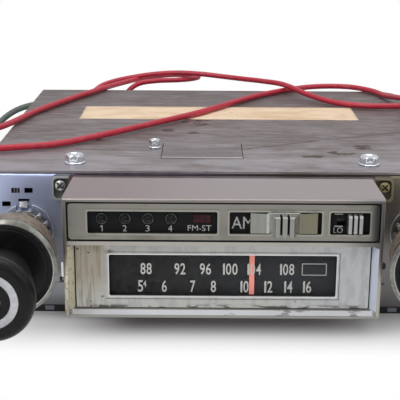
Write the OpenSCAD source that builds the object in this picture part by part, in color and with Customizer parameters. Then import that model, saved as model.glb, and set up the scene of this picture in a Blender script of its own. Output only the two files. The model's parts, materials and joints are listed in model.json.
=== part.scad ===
// In-dash eight-track tape player with a two-band radio, made to stand behind a dashboard.
// Frame: origin at the centre of the chassis base, +X to the right, +Y to the rear, +Z up.

/* [Chassis] */
// Width over the cover's side flanges
chassis_w = 181; // [176:1:190]
// Depth from the front plate to the rear panel
chassis_d = 163; // [160:1:176]
// Height from the base to the top of the cover
chassis_h = 56; // [55:1:60]
// Thickness of the chassis sheet
sheet_t = 1; // [0.8:0.1:1.2]
// Thickness of the top cover
cover_t = 0.9; // [0.7:0.1:1.2]
// Height of the cover's side flanges
cover_flange_h = 8; // [5:0.5:12]
// Width of the inward flanges that carry the cover
rail_flange_w = 8; // [6:0.5:12]
// Height of the bottom cover's turned-up edge
pan_edge_h = 2.6; // [2:0.1:2.8]
// Gap between the bottom cover's edge and the front plate
pan_gap = 0.3; // [0.2:0.1:0.8]
// Width of one side vent slot
vent_w = 3; // [2:0.5:4]
// Length of one side vent slot
vent_h = 22; // [14:1:26]
// Spacing of the side vent slots
vent_pitch = 7; // [6:0.5:9]

/* [Cover] */
// Distance of the front cover screws from the cover's sides
cover_screw_inset = 34.7; // [30:0.1:40]
// Distance of the front cover screws behind the front plate
cover_screw_y = 12; // [9:0.5:15]
// Width across the flats of the cover screws' hexagon heads
screw_hex = 6.4; // [5:0.1:7]
// Radius of the washer that is formed on a cover screw
screw_washer_r = 4; // [3.8:0.1:4.5]
// Width of the lanced tongue in the cover
tongue_w = 31.5; // [26:0.5:36]
// Length of the lanced tongue, front to back
tongue_d = 29.5; // [24:0.5:34]
// Height that the tongue is pressed up
tongue_rise = 0.5; // [0.3:0.1:0.8]
// Width of the paper strip on the cover
strip_w = 127; // [110:1:140]
// Front to back size of the paper strip
strip_d = 28.5; // [20:0.5:34]
// Distance of the paper strip behind the front plate
strip_y = 91.5; // [86:0.5:100]
// Thickness of the paper strip
strip_t = 0.2; // [0.1:0.05:0.3]

/* [Nosepiece] */
// Width of the nosepiece
nose_w = 112; // [110:0.5:113]
// Distance that the nosepiece stands out of the front plate
nose_d = 27; // [25:0.5:30]
// Height of the nosepiece's lower face above the base
nose_z0 = 8.9; // [8.6:0.1:9.4]
// Height of its top edge at the front
nose_top_front = 53.3; // [53.2:0.1:54]
// Height of its top edge at the front plate
nose_top_back = 54.7; // [54.2:0.1:55.2]
// Narrowing of each side towards the plate
nose_draft = 1.4; // [0.8:0.1:1.8]
// Wall of the nosepiece beside the groove round the control panel
nose_wall = 1.55; // [1.2:0.05:1.8]
// Distance from the nosepiece's side to the tape door's edge
door_wall = 3.9; // [3.6:0.1:4.2]
// Width of the bevel on each side of the tape door's bay
bay_bevel = 2.15; // [1.5:0.05:2.4]
// Thickness of the inside ledge that the control panel sits on
ledge_t = 1.6; // [1.2:0.1:2.2]
// Width of that ledge
ledge_w = 1.7; // [1.2:0.1:2]
// Radius of the fixing screws' heads
nose_screw_r = 2.2; // [2:0.1:2.3]
// Thickness of the two fixing ears
ear_t = 1.2; // [1:0.1:1.5]
// Height of the rim round an ear's recess
ear_rim = 1.6; // [1:0.1:2]
// Distance of the fixing screws from the nosepiece's sides
nose_screw_out = 3.7; // [3.5:0.1:4]
// Distance of the fixing screws below the nosepiece's top edge
nose_screw_drop = 3.8; // [3.6:0.1:4]

/* [Control panel] */
// Height of the panel's lower edge above the base
panel_z0 = 38.3; // [38.2:0.1:38.5]
// Height of the panel's upper edge above the base
panel_z1 = 51.6; // [51.4:0.1:51.7]
// Width of the dark groove round the panel
groove_w = 0.4; // [0.2:0.05:0.5]
// Thickness of the panel
panel_t = 1.8; // [1.5:0.1:2]
// Height of the windows' lower edge above the base
window_z0 = 40.8; // [40.6:0.1:41]
// Height of the windows
window_h = 8; // [7.8:0.1:8.2]
// Width of the raised rim round a window
rim_w = 0.7; // [0.5:0.1:0.8]
// Height of the raised rim
rim_rise = 0.35; // [0.2:0.05:0.5]
// Spacing of the track lamps
lamp_pitch = 8.03; // [7.5:0.01:8.2]
// Distance of the first track lamp from the panel's left edge
lamp_inset = 11.75; // [11.5:0.05:12.5]
// Radius of a track lamp's lens
lamp_r = 1.7; // [1.4:0.1:1.9]
// Height of the lamps above the base
lamp_z = 45.8; // [45.5:0.1:46]
// Thickness of the dark plate behind the windows
legend_t = 0.8; // [0.6:0.1:1]
// Height of the band slider's ridge over the panel's face
ridge_rise = 5; // [3:0.5:6]
// Travel of the band slider
band_travel = 6.4; // [5:0.1:6.6]
// Travel of the local-distance slider
distance_travel = 4.2; // [3:0.1:4.6]

/* [Tape door] */
// Gap between the door and the sides of its bay
door_gap = 0.35; // [0.3:0.05:0.6]
// Height of the door's lower edge above the base
door_z0 = 12; // [12:0.1:12.3]
// Height of the door's upper edge above the base
door_z1 = 35.7; // [35.6:0.1:35.8]
// Distance of the door's face behind the nosepiece's face
door_set_back = 3; // [2.8:0.1:3.3]
// Thickness of the door panel
door_t = 1.2; // [1:0.1:1.3]
// Half of the dial window's width
dial_half_w = 40.3; // [36:0.1:42]
// Height of the dial window's lower edge above the base
dial_z0 = 16.5; // [16:0.1:17.5]
// Height of the dial window's upper edge above the base
dial_z1 = 32; // [31:0.1:32.2]
// Width of the bright rim round the dial window
dial_rim_w = 0.9; // [0.6:0.1:1.2]
// Thickness of the dial glass
glass_t = 1.2; // [1:0.1:1.3]
// Depth of the dial's back tray
tray_d = 1.9; // [1.7:0.1:2]
// Radius of the door's hinge pin
door_pin_r = 0.8; // [0.6:0.05:0.85]
// Width of the dial pointer
pointer_w = 1.8; // [1.2:0.1:2.2]
// Place of the pointer at rest from the centre line
pointer_x = 10.5; // [6:0.5:14]

/* [Controls] */
// Distance of each control shaft from the cover's sides
shaft_inset = 17.5; // [17.2:0.1:18]
// Height of the control shafts above the base
shaft_z = 33; // [32.8:0.1:33.2]
// Radius of the inner shafts
shaft_r = 2; // [1.8:0.05:2.2]
// Radius of the outer sleeves
sleeve_r = 3; // [2.8:0.05:3.2]
// Radius of the threaded bushings
bushing_r = 4.75; // [4.5:0.05:5]
// Radius of the round plates under the nuts
plate_r = 10.2; // [9:0.1:10.8]
// Thickness of the round plates
plate_t = 1; // [0.8:0.1:1.2]
// Root radius of the toothed nuts
nut_r = 8; // [7.8:0.1:8.4]
// Thickness of the toothed nuts
nut_t = 5; // [4.6:0.1:5.6]
// Number of teeth on a nut
nut_teeth = 14; // [10:1:18]
// Radius of the rear rings
ring_r = 17.2; // [16:0.1:17.6]
// Width of the bevel outside a rear ring's crest
ring_bevel = 1.4; // [1:0.1:1.8]
// Depth of a rear ring's rim
ring_rim_d = 2.6; // [2:0.1:3.4]
// Rear radius of the drum behind the rim
drum_r = 14.6; // [13:0.1:15]
// Depth of the rear rings
ring_d = 18; // [14:0.5:20]
// Distance of a rear ring's front face before the front plate
ring_face = 42.5; // [38:0.5:44]
// Radius of the black disc on a rear ring
ring_disc_r = 13.8; // [12.5:0.1:14.4]
// Largest radius of the front knobs
knob_r = 14.1; // [12:0.1:14.6]
// Radius of the front knobs at their rear
knob_rear_r = 9.9; // [9:0.1:11]
// Length of the front knobs
knob_l = 22; // [18:0.5:24]
// Gap between a rear ring's face and a front knob
knob_gap = 7.5; // [6:0.5:9]
// Outer radius of the bright ring in a knob's face
inlay_r = 9.2; // [8:0.1:10]
// Inner radius of the bright ring in a knob's face
inlay_bore_r = 6.6; // [5.5:0.1:7]
// Travel of the volume shaft when it is pressed to change the program
push_travel = 2.5; // [1.5:0.1:3]

/* [Tape deck] */
// Width of a cartridge
cartridge_w = 101.6; // [101:0.1:102]
// Thickness of a cartridge
cartridge_t = 20.3; // [20:0.1:20.4]
// Depth that a cartridge enters behind the front plate
cartridge_in = 66; // [62:0.5:68]
// Height of the deck plate's top above the base
deck_z = 11.5; // [11.4:0.1:11.6]
// Thickness of the deck plate
deck_t = 1.2; // [1:0.1:1.5]
// Radius of the capstan
capstan_r = 2.4; // [2:0.1:2.6]
// Place of the capstan from the centre line
capstan_x = 32; // [30:0.5:33]
// Radius of the flywheel
flywheel_r = 27; // [24:0.5:28]
// Thickness of the flywheel's rim
flywheel_t = 5; // [4.4:0.1:5.4]
// Radius of the motor's can
motor_r = 16; // [14:0.5:17]
// Length of the motor's can
motor_l = 24; // [20:0.5:28]
// Radius of the motor's pulley
pulley_r = 5; // [4:0.1:6]
// Thickness of the drive belt
belt_t = 0.7; // [0.5:0.05:0.9]
// Total lift of the tape head over the four programs
head_lift = 2.4; // [1.8:0.1:2.6]
// Radius of the program cam
cam_r = 11; // [10:0.1:12]

/* [Rear] */
// Radius of the rear support stud
stud_r = 3; // [2.5:0.1:3.5]
// Length of the rear support stud
stud_l = 16; // [12:0.5:20]
// Number of fins on the heat sink
fin_count = 15; // [14:1:18]
// Thickness of the fins
fin_t = 1.8; // [1.4:0.1:2]
// Height of the heat sink's fins
fin_h = 9; // [6:0.5:12]
// Width of the heat sink
sink_w = 74; // [66:1:80]
// Diameter of the power lead
lead_dia = 2.7; // [2.6:0.1:2.8]
// Diameter of the aerial lead
aerial_dia = 3.2; // [3.1:0.1:3.3]
// Bore radius of the aerial socket
socket_bore_r = 3.9; // [3.6:0.1:4.1]
// Outer radius of the aerial socket
socket_r = 5.6; // [5.2:0.1:6]

/* [Hidden] */
$fn = 48;

running = 0.05;   // radial clearance of a shaft in its bore
clear = 0.3;      // gap between pieces that move past each other
slit_w = 0.3;     // width of a lanced slit
eps = 0.01;       // overlap that keeps a cut clean

front_y = -chassis_d / 2;             // face of the front plate
rear_y = chassis_d / 2;               // face of the rear panel
nose_y = front_y - nose_d;            // face of the nosepiece
door_y = nose_y + door_set_back;      // face of the tape door
wall_x = chassis_w / 2 - cover_t;     // outer face of the chassis sides
cover_z = chassis_h - cover_t;        // underside of the cover
flange_z = cover_z - sheet_t;         // underside of the flanges that carry the cover
plate_z0 = pan_edge_h + pan_gap;      // lower edge of the front plate
panel_half_w = nose_w / 2 - nose_wall - groove_w;
panel_y = nose_y + 0.2;               // face of the control panel
ledge_y = panel_y + panel_t;          // front of the ledge behind the panel
legend_y = ledge_y + ledge_t;         // front of the dark plate, on the back of the ledge
window_z1 = window_z0 + window_h;
window_zc = window_z0 + window_h / 2;
door_half_w = nose_w / 2 - door_wall;
hinge_y = door_y + door_t + door_pin_r + running;  // door hinge axis
hinge_z = door_z1 - 0.9;
glass_y = door_y + door_t;            // front of the dial glass
tray_y = glass_y + glass_t;           // front of the dial's back tray
gate_x = door_half_w + door_gap;      // half-width of the way in for a cartridge
gate_z0 = deck_z + 0.2;               // floor of the way in
gate_z1 = 38.0;                       // roof of the way in
rail_x = cartridge_w / 2 + 0.5;       // inner face of the cartridge guides
rail_z1 = deck_z + 0.5 + cartridge_t + 0.4;  // underside of the guides' hold-down lips
cart_y = front_y + cartridge_in;      // rear edge of a fitted cartridge
capstan_y = cart_y + clear + capstan_r;
cover_screw_x = chassis_w / 2 - cover_screw_inset;
nose_screw_x = nose_w / 2 + nose_screw_out;
nose_screw_z = nose_top_back - nose_screw_drop;
shaft_x = chassis_w / 2 - shaft_inset;
middle_screw_x = -26.6;
middle_screw_y = front_y + 37;
tongue_x0 = -23.3;
tongue_y0 = front_y + 19.4;
motor_x = wall_x - 29.6;
motor_y = 52;
cam_x = -14;
cam_y = 22;
board_z = 40;
board_t = 1.6;
post_r = 2.6;
ring_y = front_y - ring_face;         // front face of the rear rings
knob_y = ring_y - knob_gap - knob_l;  // front face of the front knobs

// ---------- shapes that repeat ----------

// A front view outline, given as (x, z), drawn out from y0 to y1
module front_profile(y0, y1) {
    translate([0, y1, 0]) rotate([90, 0, 0]) linear_extrude(height = y1 - y0) children();
}

// A side view outline, given as (y, z), drawn out from x0 to x1
module side_profile(x0, x1) {
    translate([x0, 0, 0]) rotate([90, 0, 90]) linear_extrude(height = x1 - x0) children();
}

// A plan outline drawn up from z0 to z1
module plan_profile(z0, z1) {
    translate([0, 0, z0]) linear_extrude(height = z1 - z0) children();
}

module block(x0, x1, y0, y1, z0, z1) {
    translate([x0, y0, z0]) cube([x1 - x0, y1 - y0, z1 - z0]);
}

// A round bar along Y
module bar_y(x, z, r, y0, y1) {
    translate([x, y1, z]) rotate([90, 0, 0]) cylinder(r = r, h = y1 - y0);
}

// A round bar along X
module bar_x(y, z, r, x0, x1) {
    translate([x0, y, z]) rotate([0, 90, 0]) cylinder(r = r, h = x1 - x0);
}

module round_rect(x0, x1, y0, y1, r) {
    translate([x0 + r, y0]) square([x1 - x0 - 2 * r, y1 - y0]);
    translate([x0, y0 + r]) square([x1 - x0, y1 - y0 - 2 * r]);
    for (x = [x0 + r, x1 - r], y = [y0 + r, y1 - r]) translate([x, y]) circle(r = r);
}

module both_sides() {
    children();
    mirror([1, 0, 0]) children();
}

// Children at both control shafts, with Y as the shaft's axis
module at_shafts() {
    for (side = [-1, 1]) translate([side * shaft_x, 0, shaft_z]) children();
}

// A solid of revolution about the Y axis; the outline is (radius, distance along Y)
module turned_y() {
    rotate([-90, 0, 0]) mirror([0, 1, 0]) rotate_extrude() children();
}

// Outline round two pulleys of radii r1 and r2, d apart along X, standing gap off them
function belt_outline(r1, r2, d, gap) = let (
    a = acos((r1 - r2) / d), n = 36,
    big = (r1 + gap) / cos((180 - a) / n), small = (r2 + gap) / cos(a / n)
) concat(
    [for (i = [0:n]) let (t = a + (360 - 2 * a) * i / n) big * [cos(t), sin(t)]],
    [for (i = [0:n]) let (t = -a + 2 * a * i / n) [d, 0] + small * [cos(t), sin(t)]]
);

// ---------- chassis ----------

module side_vents() {
    for (i = [-3:3]) translate([0, i * vent_pitch, chassis_h / 2])
        rotate([90, 0, 90]) translate([0, 0, -chassis_w])
            linear_extrude(height = 2 * chassis_w)
                round_rect(-vent_w / 2, vent_w / 2, -vent_h / 2, vent_h / 2, vent_w / 2 - eps);
}

module chassis_frame() color("#8b8b88") difference() {
    both_sides() union() {
        block(wall_x - sheet_t, wall_x, front_y + sheet_t, rear_y - sheet_t, sheet_t, cover_z);
        block(wall_x - rail_flange_w, wall_x, front_y + rail_flange_w + sheet_t, rear_y - sheet_t, flange_z, cover_z);
        block(wall_x - rail_flange_w, wall_x, front_y + sheet_t, front_y + 2 * sheet_t, sheet_t, plate_z0 + 4);
    }
    side_vents();
}

tab_w = 2.9;
tab_x = shaft_x + 0.7;
tab_z0 = shaft_z + 8.7;
tab_z1 = tab_z0 + 2.8;
tab_reach = 2.2;
bend_r = 1.5;

// Outlines that are punched out of each half of the front plate
module plate_slots() {
    for (x = [-2.7, 2.1]) translate([shaft_x + x, shaft_z + 14.3]) square([3.1, 2]);
    translate([shaft_x + 5.7, shaft_z + 9.1]) square([3.2, 1.9]);
    // hole that the locating tab is bent out of
    translate([tab_x - tab_w / 2 - 0.6, tab_z0]) square([tab_w + 1.2, tab_z1 - tab_z0 + 0.6]);
}

// Pad and bead pressed out of each half of the front plate beside the nosepiece's foot
module foot_press() {
    foot_x = nose_w / 2 - nose_draft + clear;
    front_profile(front_y - 0.8, front_y + eps) round_rect(foot_x, foot_x + 7.4, plate_z0 + 2.9, plate_z0 + 9.4, 0.8);
    front_profile(front_y - 0.5, front_y + eps) round_rect(foot_x + 4.9, foot_x + 5.7, plate_z0 + 10.5, plate_z0 + 17.5, 0.35);
}

module front_plate() color("#98989a") {
    difference() {
        union() {
            front_profile(front_y, front_y + sheet_t) difference() {
                round_rect(-chassis_w / 2, chassis_w / 2, plate_z0, cover_z, 1);
                translate([-gate_x, gate_z0]) square([2 * gate_x, gate_z1 - gate_z0]);
                round_rect(-panel_half_w + 2.5, panel_half_w - 2.5, gate_z1 + 1.2, window_z1 + 2.2, 1);
                plate_slots();
                mirror([1, 0]) plate_slots();
            }
            block(-wall_x + rail_flange_w, wall_x - rail_flange_w, front_y, front_y + 20, flange_z, cover_z);
            both_sides() foot_press();
            // tongue that takes the middle cover screw
            block(middle_screw_x - 5, middle_screw_x + 2, front_y + 20 - eps, middle_screw_y + 5, flange_z, cover_z);
        }
        for (side = [-1, 1]) {
            bar_y(side * shaft_x, shaft_z, bushing_r + running, front_y - 1, front_y + 3);
            bar_y(side * nose_screw_x, nose_screw_z, 1.3, front_y - 1, front_y + 3);
            translate([side * cover_screw_x, front_y + cover_screw_y, flange_z - 1]) cylinder(r = 1.6, h = 3);
        }
        translate([middle_screw_x, middle_screw_y, flange_z - 1]) cylinder(r = 1.6, h = 3);
        // rounded bend between the front and the top flange
        side_profile(-chassis_w, chassis_w) difference() {
            translate([front_y - 1, cover_z - bend_r]) square([bend_r + 1, bend_r + 1]);
            translate([front_y + bend_r, cover_z - bend_r]) circle(r = bend_r);
        }
    }
    // locating tabs bent forward through the round plates' notches
    both_sides() side_profile(tab_x - tab_w / 2, tab_x + tab_w / 2) polygon([
        [front_y + sheet_t, tab_z0 - 0.8], [front_y, tab_z0 - 0.8], [front_y - 1.8, tab_z0 + 0.6],
        [front_y - tab_reach, tab_z1], [front_y - tab_reach + 0.7, tab_z1], [front_y - 1, tab_z0 + 1], [front_y + sheet_t, tab_z0 + eps]
    ]);
}

module rear_panel() color("#8d8d8a") {
    difference() {
        front_profile(rear_y - sheet_t, rear_y) difference() {
            round_rect(-wall_x, wall_x, sheet_t, cover_z, 1);
            for (i = [0:4]) round_rect(wall_x - 51.6 + i * 8, wall_x - 48.6 + i * 8, chassis_h - 16, chassis_h - 6, 1.4);
        }
        bar_y(power_exit_x, power_exit_z, grommet_neck_r, rear_y - 3, rear_y + 1);
        bar_y(aerial_exit_x, aerial_exit_z, grommet_neck_r, rear_y - 3, rear_y + 1);
    }
    bar_y(stud_x, stud_z, stud_r + 2.5, rear_y, rear_y + 1.5);
    bar_y(stud_x, stud_z, stud_r, rear_y, rear_y + stud_l);
}

// Plan outline of the cover with its clipped rear corner
module cover_plan() {
    corner = 5;
    w = chassis_w / 2;
    polygon([
        [-w, front_y], [w, front_y], [w, rear_y - corner], [w - corner, rear_y], [-w, rear_y]
    ]);
}

module top_cover() color("#8a8580") {
    difference() {
        union() {
            plan_profile(cover_z, chassis_h) cover_plan();
            both_sides() block(wall_x, chassis_w / 2, front_y + 2, rear_y - 6, chassis_h - cover_flange_h, chassis_h);
        }
        for (side = [-1, 1])
            translate([side * cover_screw_x, front_y + cover_screw_y, cover_z - 1]) cylinder(r = 1.9, h = 3);
        translate([middle_screw_x, middle_screw_y, cover_z - 1]) cylinder(r = 1.9, h = 3);
        // three slits that free the tongue at its front and sides
        block(tongue_x0, tongue_x0 + tongue_w, tongue_y0 - slit_w, tongue_y0, cover_z - 1, chassis_h + 1);
        for (x = [tongue_x0 - slit_w, tongue_x0 + tongue_w])
            block(x, x + slit_w, tongue_y0 - slit_w, tongue_y0 + tongue_d - 4, cover_z - 1, chassis_h + 1);
    }
    // the tongue's raised face
    side_profile(tongue_x0, tongue_x0 + tongue_w) polygon([
        [tongue_y0, chassis_h - eps], [tongue_y0, chassis_h + tongue_rise],
        [tongue_y0 + 3, chassis_h + tongue_rise], [tongue_y0 + tongue_d, chassis_h - eps]
    ]);
    // low pressed crease on each side of the tongue
    for (x = [[-wall_x + 6, tongue_x0 - 12], [tongue_x0 + tongue_w + 4, wall_x - 6]]) side_profile(x[0], x[1])
        polygon([[front_y + 48, chassis_h - eps], [front_y + 50, chassis_h + 0.3], [front_y + 52, chassis_h - eps]]);
}

module bottom_cover() color("#7d7b76") difference() {
    union() {
        block(-chassis_w / 2, chassis_w / 2, front_y + clear, rear_y, 0, sheet_t);
        block(-wall_x, wall_x, front_y + clear, front_y + clear + 0.7, 0, pan_edge_h);
        both_sides() block(wall_x, chassis_w / 2, front_y + 2, rear_y - 6, 0, cover_flange_h);
    }
    for (i = [-3:3]) plan_profile(-1, sheet_t + 1)
        translate([-40 + i * vent_pitch, 45]) round_rect(-1.5, 1.5, -10, 10, 1.4);
}

// A hexagon screw standing on z = 0, with its washer's radius, width across flats and length
module hex_screw(washer_r, flats, length) {
    cylinder(r = washer_r, h = 0.8);
    translate([0, 0, 0.8 - eps]) cylinder(r = flats / 2 / cos(30), h = 2.6, $fn = 6);
    translate([0, 0, -length]) cylinder(r = 1.55, h = length);
}

module cover_screws() color("#b9bcc0") {
    for (side = [-1, 1])
        translate([side * cover_screw_x, front_y + cover_screw_y, chassis_h]) hex_screw(screw_washer_r, screw_hex, 5);
    translate([middle_screw_x, middle_screw_y, chassis_h]) hex_screw(2.5, 4, 4);
}

module label_strip() color("#e8dcc0")
    plan_profile(chassis_h, chassis_h + strip_t)
        round_rect(-strip_w / 2, strip_w / 2, front_y + strip_y, front_y + strip_y + strip_d, 1.5);

// ---------- nosepiece and control panel ----------

// Side view of the nosepiece's body, with rounded front edges
module nose_side() {
    r = 1;
    union() {
        polygon([
            [nose_y + r, nose_z0], [front_y, nose_z0], [front_y, nose_top_back],
            [nose_y + r, nose_top_front], [nose_y, nose_top_front - r], [nose_y, nose_z0 + r]
        ]);
        for (z = [nose_z0 + r, nose_top_front - r]) translate([nose_y + r, z]) circle(r = r);
    }
}

// Plan view of the nosepiece, drawn in towards the plate
module nose_plan() {
    w = nose_w / 2;
    r = 1;
    polygon([[-w, nose_y + r], [-w + r, nose_y], [w - r, nose_y], [w, nose_y + r], [w - nose_draft, front_y], [-w + nose_draft, front_y]]);
    for (x = [-w + r, w - r]) translate([x, nose_y + r]) circle(r = r);
}

// The way in for the door and cartridge, with bevelled side and lower walls
module bay_cut() {
    depth = door_y + 0.6;
    mouth = gate_x + bay_bevel * (depth - nose_y + 1) / (depth - nose_y);
    intersection() {
        plan_profile(0, gate_z1 + 5) polygon([
            [-mouth, nose_y - 1], [mouth, nose_y - 1], [gate_x, depth], [gate_x, front_y + 1],
            [-gate_x, front_y + 1], [-gate_x, depth]
        ]);
        side_profile(-nose_w, nose_w) polygon([
            [nose_y - 1, nose_z0 + 0.6], [depth, gate_z0], [front_y + 1, gate_z0], [front_y + 1, gate_z1],
            [door_y + 1.5, gate_z1], [door_y, door_z1 + clear], [nose_y - 1, door_z1 + clear + 0.4]
        ]);
    }
}

module panel_outline(grow) {
    round_rect(-panel_half_w - grow, panel_half_w + grow, panel_z0 - grow, panel_z1 + grow, 1.6 + grow);
}

module nosepiece() color("#c9ccd0") {
    difference() {
        intersection() {
            side_profile(-nose_w, nose_w) nose_side();
            plan_profile(0, chassis_h) nose_plan();
        }
        bay_cut();
        front_profile(nose_y - 1, ledge_y) panel_outline(groove_w);
        front_profile(ledge_y - eps, ledge_y + ledge_t)
            round_rect(-panel_half_w + ledge_w, panel_half_w - ledge_w, panel_z0 + ledge_w, panel_z1 - ledge_w, 1);
        // the hollow behind the ledge
        front_profile(ledge_y + ledge_t - eps, front_y + 1)
            round_rect(-panel_half_w + 2.2, panel_half_w - 2.2, gate_z1 + 1, nose_top_front - 1.4, 1);
        hinge_seats();
    }
    both_sides() ear();
}

// Sockets in the side walls for the door's hinge pin
module hinge_seats() {
    bar_x(hinge_y, hinge_z, door_pin_r + running, -door_half_w - 2.4, door_half_w + 2.4);
}

// Outline of the right-hand fixing ear, shrunk by inset
module ear_outline(inset) {
    x0 = nose_w / 2 - 2.5;
    x1 = nose_screw_x + 3.2 - inset;
    z0 = nose_screw_z - 5.5 + inset;
    z1 = nose_screw_z + 3.7 - inset;
    translate([x0, z0]) square([x1 - 1.6 - x0, z1 - z0]);
    translate([x0, z0 + 1.6]) square([x1 - x0, z1 - z0 - 3.2]);
    for (z = [z0 + 1.6, z1 - 1.6]) translate([x1 - 1.6, z]) circle(r = 1.6);
}

// Cast ear with a raised rim round the screw's recess
module ear() difference() {
    front_profile(front_y - ear_t - ear_rim, front_y) ear_outline(0);
    front_profile(front_y - ear_t - ear_rim - 1, front_y - ear_t) ear_outline(0.8);
    bar_y(nose_screw_x, nose_screw_z, 1.6, front_y - ear_t - 1, front_y + 1);
    // the body of the nosepiece, which the ear joins
    plan_profile(gate_z1, chassis_h) translate([0, front_y - 5]) square([nose_w / 2 - 2.3, 10]);
}

module nose_screws() color("#cfcfcf")
    for (side = [-1, 1]) translate([side * nose_screw_x, front_y - ear_t, nose_screw_z]) rotate([90, 0, 0]) difference() {
        union() {
            intersection() {
                cylinder(r = nose_screw_r, h = 1.8);
                translate([0, 0, -1.7]) sphere(r = 3.5);
            }
            translate([0, 0, -ear_t - 3]) cylinder(r = 1.25, h = ear_t + 3);
        }
        for (a = [45, 135]) rotate([0, 0, a]) translate([-1.5, -0.28, 1]) cube([3, 0.56, 2]);
    }

// left and right edges of the three windows
windows = [[-panel_half_w + 6.85, -2.1], [2.1, panel_half_w - 19.95], [panel_half_w - 17.05, panel_half_w - 3.25]];
lamp_x = -panel_half_w + lamp_inset;
slot_z0 = window_zc - 1.2;
slot_z1 = window_zc + 1.2;
band_x = [windows[1][1] - 18.5, windows[1][1] - 7.7];       // inner edges of the band slider's two flat tabs at rest
band_reach = 6.3;                                           // width of one tab
distance_x = [windows[2][1] - 8.05, windows[2][1] - 2.45];  // edges of the local-distance slider at rest

module control_panel() color("#c4c6c8") difference() {
    union() {
        front_profile(panel_y, ledge_y) panel_outline(0);
        for (w = windows) front_profile(panel_y - rim_rise, panel_y + eps)
            round_rect(w[0] - rim_w, w[1] + rim_w, window_z0 - rim_w, window_z1 + rim_w, 0.8);
    }
    for (w = windows) front_profile(panel_y - 1, ledge_y + 1) round_rect(w[0], w[1], window_z0, window_z1, 0.6);
}

// Dark plate behind the windows, with a raised pad in each window, lamp holes and slider slots
module legend_plate() color("#1c1c1e") difference() {
    union() {
        front_profile(legend_y, legend_y + legend_t)
            round_rect(-panel_half_w + 2.6, panel_half_w - 2.6, gate_z1 + 1.3, panel_z1 - 0.4, 1);
        for (w = windows) front_profile(ledge_y - 0.4, legend_y + eps)
            round_rect(w[0] + 0.1, w[1] - 0.1, window_z0 + 0.1, window_z1 - 0.1, 0.5);
    }
    for (i = [0:3]) bar_y(lamp_x + i * lamp_pitch, lamp_z, lamp_r + running, panel_y, front_y);
    front_profile(panel_y, front_y) round_rect(stereo_x0 - running, stereo_x1 + running, stereo_z0 - running, stereo_z1 + running, 0.4);
    front_profile(panel_y, front_y)
        translate([band_x[0] - band_travel + 2, slot_z0]) square([band_x[1] - band_x[0] + band_travel - 4, slot_z1 - slot_z0]);
    front_profile(panel_y, front_y)
        translate([distance_x[0] - distance_travel + 1, slot_z0])
            square([distance_x[1] - distance_x[0] + distance_travel - 2, slot_z1 - slot_z0]);
}

module track_lenses() color("#3a3f44")
    for (i = [0:3]) translate([lamp_x + i * lamp_pitch, ledge_y - 0.4, lamp_z]) turned_y() difference() {
        union() {
            translate([0, -0.5]) square([lamp_r, legend_y + legend_t - ledge_y + 1.5]);
            translate([0, -0.5]) square([lamp_r + 0.25, 0.5]);
        }
        translate([0, -1.9]) circle(r = 1.55);
    }

stereo_x0 = -10.6;
stereo_x1 = -4.3;
stereo_z0 = 44.4;
stereo_z1 = 47.5;

module stereo_lens() color("#5a1414")
    front_profile(ledge_y - 0.7, legend_y + legend_t + 1) round_rect(stereo_x0, stereo_x1, stereo_z0, stereo_z1, 0.4);

slider_y = ledge_y - 0.4 - clear;      // back of the sliders' tabs, clear of the legend plate
slider_z0 = window_z0 + 0.25;
slider_z1 = window_z1 - 0.25;

slider_t = 1.6;
slider_face = slider_y - slider_t;

module band_slider() color("#d9dadb") {
    x0 = band_x[0];
    x1 = band_x[1];
    top = panel_y - ridge_rise;
    front_profile(slider_face, slider_y) round_rect(x0 - band_reach, x1 + band_reach, slider_z0, slider_z1, 0.4);
    // the ridge: sloped flanks, a slanted top and two grooves between three ribs
    difference() {
        intersection() {
            plan_profile(slider_z0, slider_z1) polygon([
                [x0, slider_face + eps], [x0 + 2.15, top], [x1 - 2.15, top], [x1, slider_face + eps]
            ]);
            side_profile(x0, x1) polygon([
                [slider_face + eps, slider_z0], [top, slider_z0], [top, slider_z1 - 0.8],
                [top + 0.5, slider_z1 - 0.3], [slider_face + eps, slider_z1]
            ]);
        }
        for (i = [-1, 1]) plan_profile(slider_z0 - 1, slider_z1 + 1)
            translate([(x0 + x1) / 2 + i * 1.25 - 0.35, top - 1]) square([0.7, 4]);
    }
    front_profile(slider_y - eps, switch_y - clear)
        translate([(x0 + x1) / 2 - 2, slot_z0 + clear]) square([4, slot_z1 - slot_z0 - 2 * clear]);
}

module distance_slider() color("#cfd1d3") {
    x0 = distance_x[0];
    x1 = distance_x[1];
    w = (x1 - x0) / 3;
    front_profile(slider_y - 0.6, slider_y) round_rect(x0, x1, slider_z0, slider_z1, 0.3);
    // three ribs whose tops slant down towards the front
    for (i = [0:2]) side_profile(x0 + (i + 0.18) * w, x0 + (i + 0.82) * w) polygon([
        [slider_y - 0.5, slider_z0 + 0.2], [slider_face - 2, slider_z0 + 0.7], [slider_face - 2, slider_z1 - 1.2],
        [slider_face - 1.4, slider_z1 - 0.5], [slider_y - 0.5, slider_z1 - 0.1]
    ]);
    front_profile(slider_y - eps, switch_y - clear)
        translate([(x0 + x1) / 2 - 1.4, slot_z0 + clear]) square([2.8, slot_z1 - slot_z0 - 2 * clear]);
}

switch_y = legend_y + legend_t + 2;    // front of the switches' cans

module slide_switches() color("#a7a9ab") {
    for (s = [[(band_x[0] + band_x[1] - band_travel) / 2, 24], [(distance_x[0] + distance_x[1] - distance_travel) / 2, 12]]) {
        block(s[0] - s[1] / 2, s[0] + s[1] / 2, switch_y, switch_y + 6, window_zc - 3, window_zc + 3);
        // two lugs that reach the back of the legend plate
        for (x = [s[0] - s[1] / 2, s[0] + s[1] / 2 - 1.2])
            block(x, x + 1.2, legend_y + legend_t, switch_y, window_zc - 3, window_zc + 3);
    }
}

// ---------- tape door ----------

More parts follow.
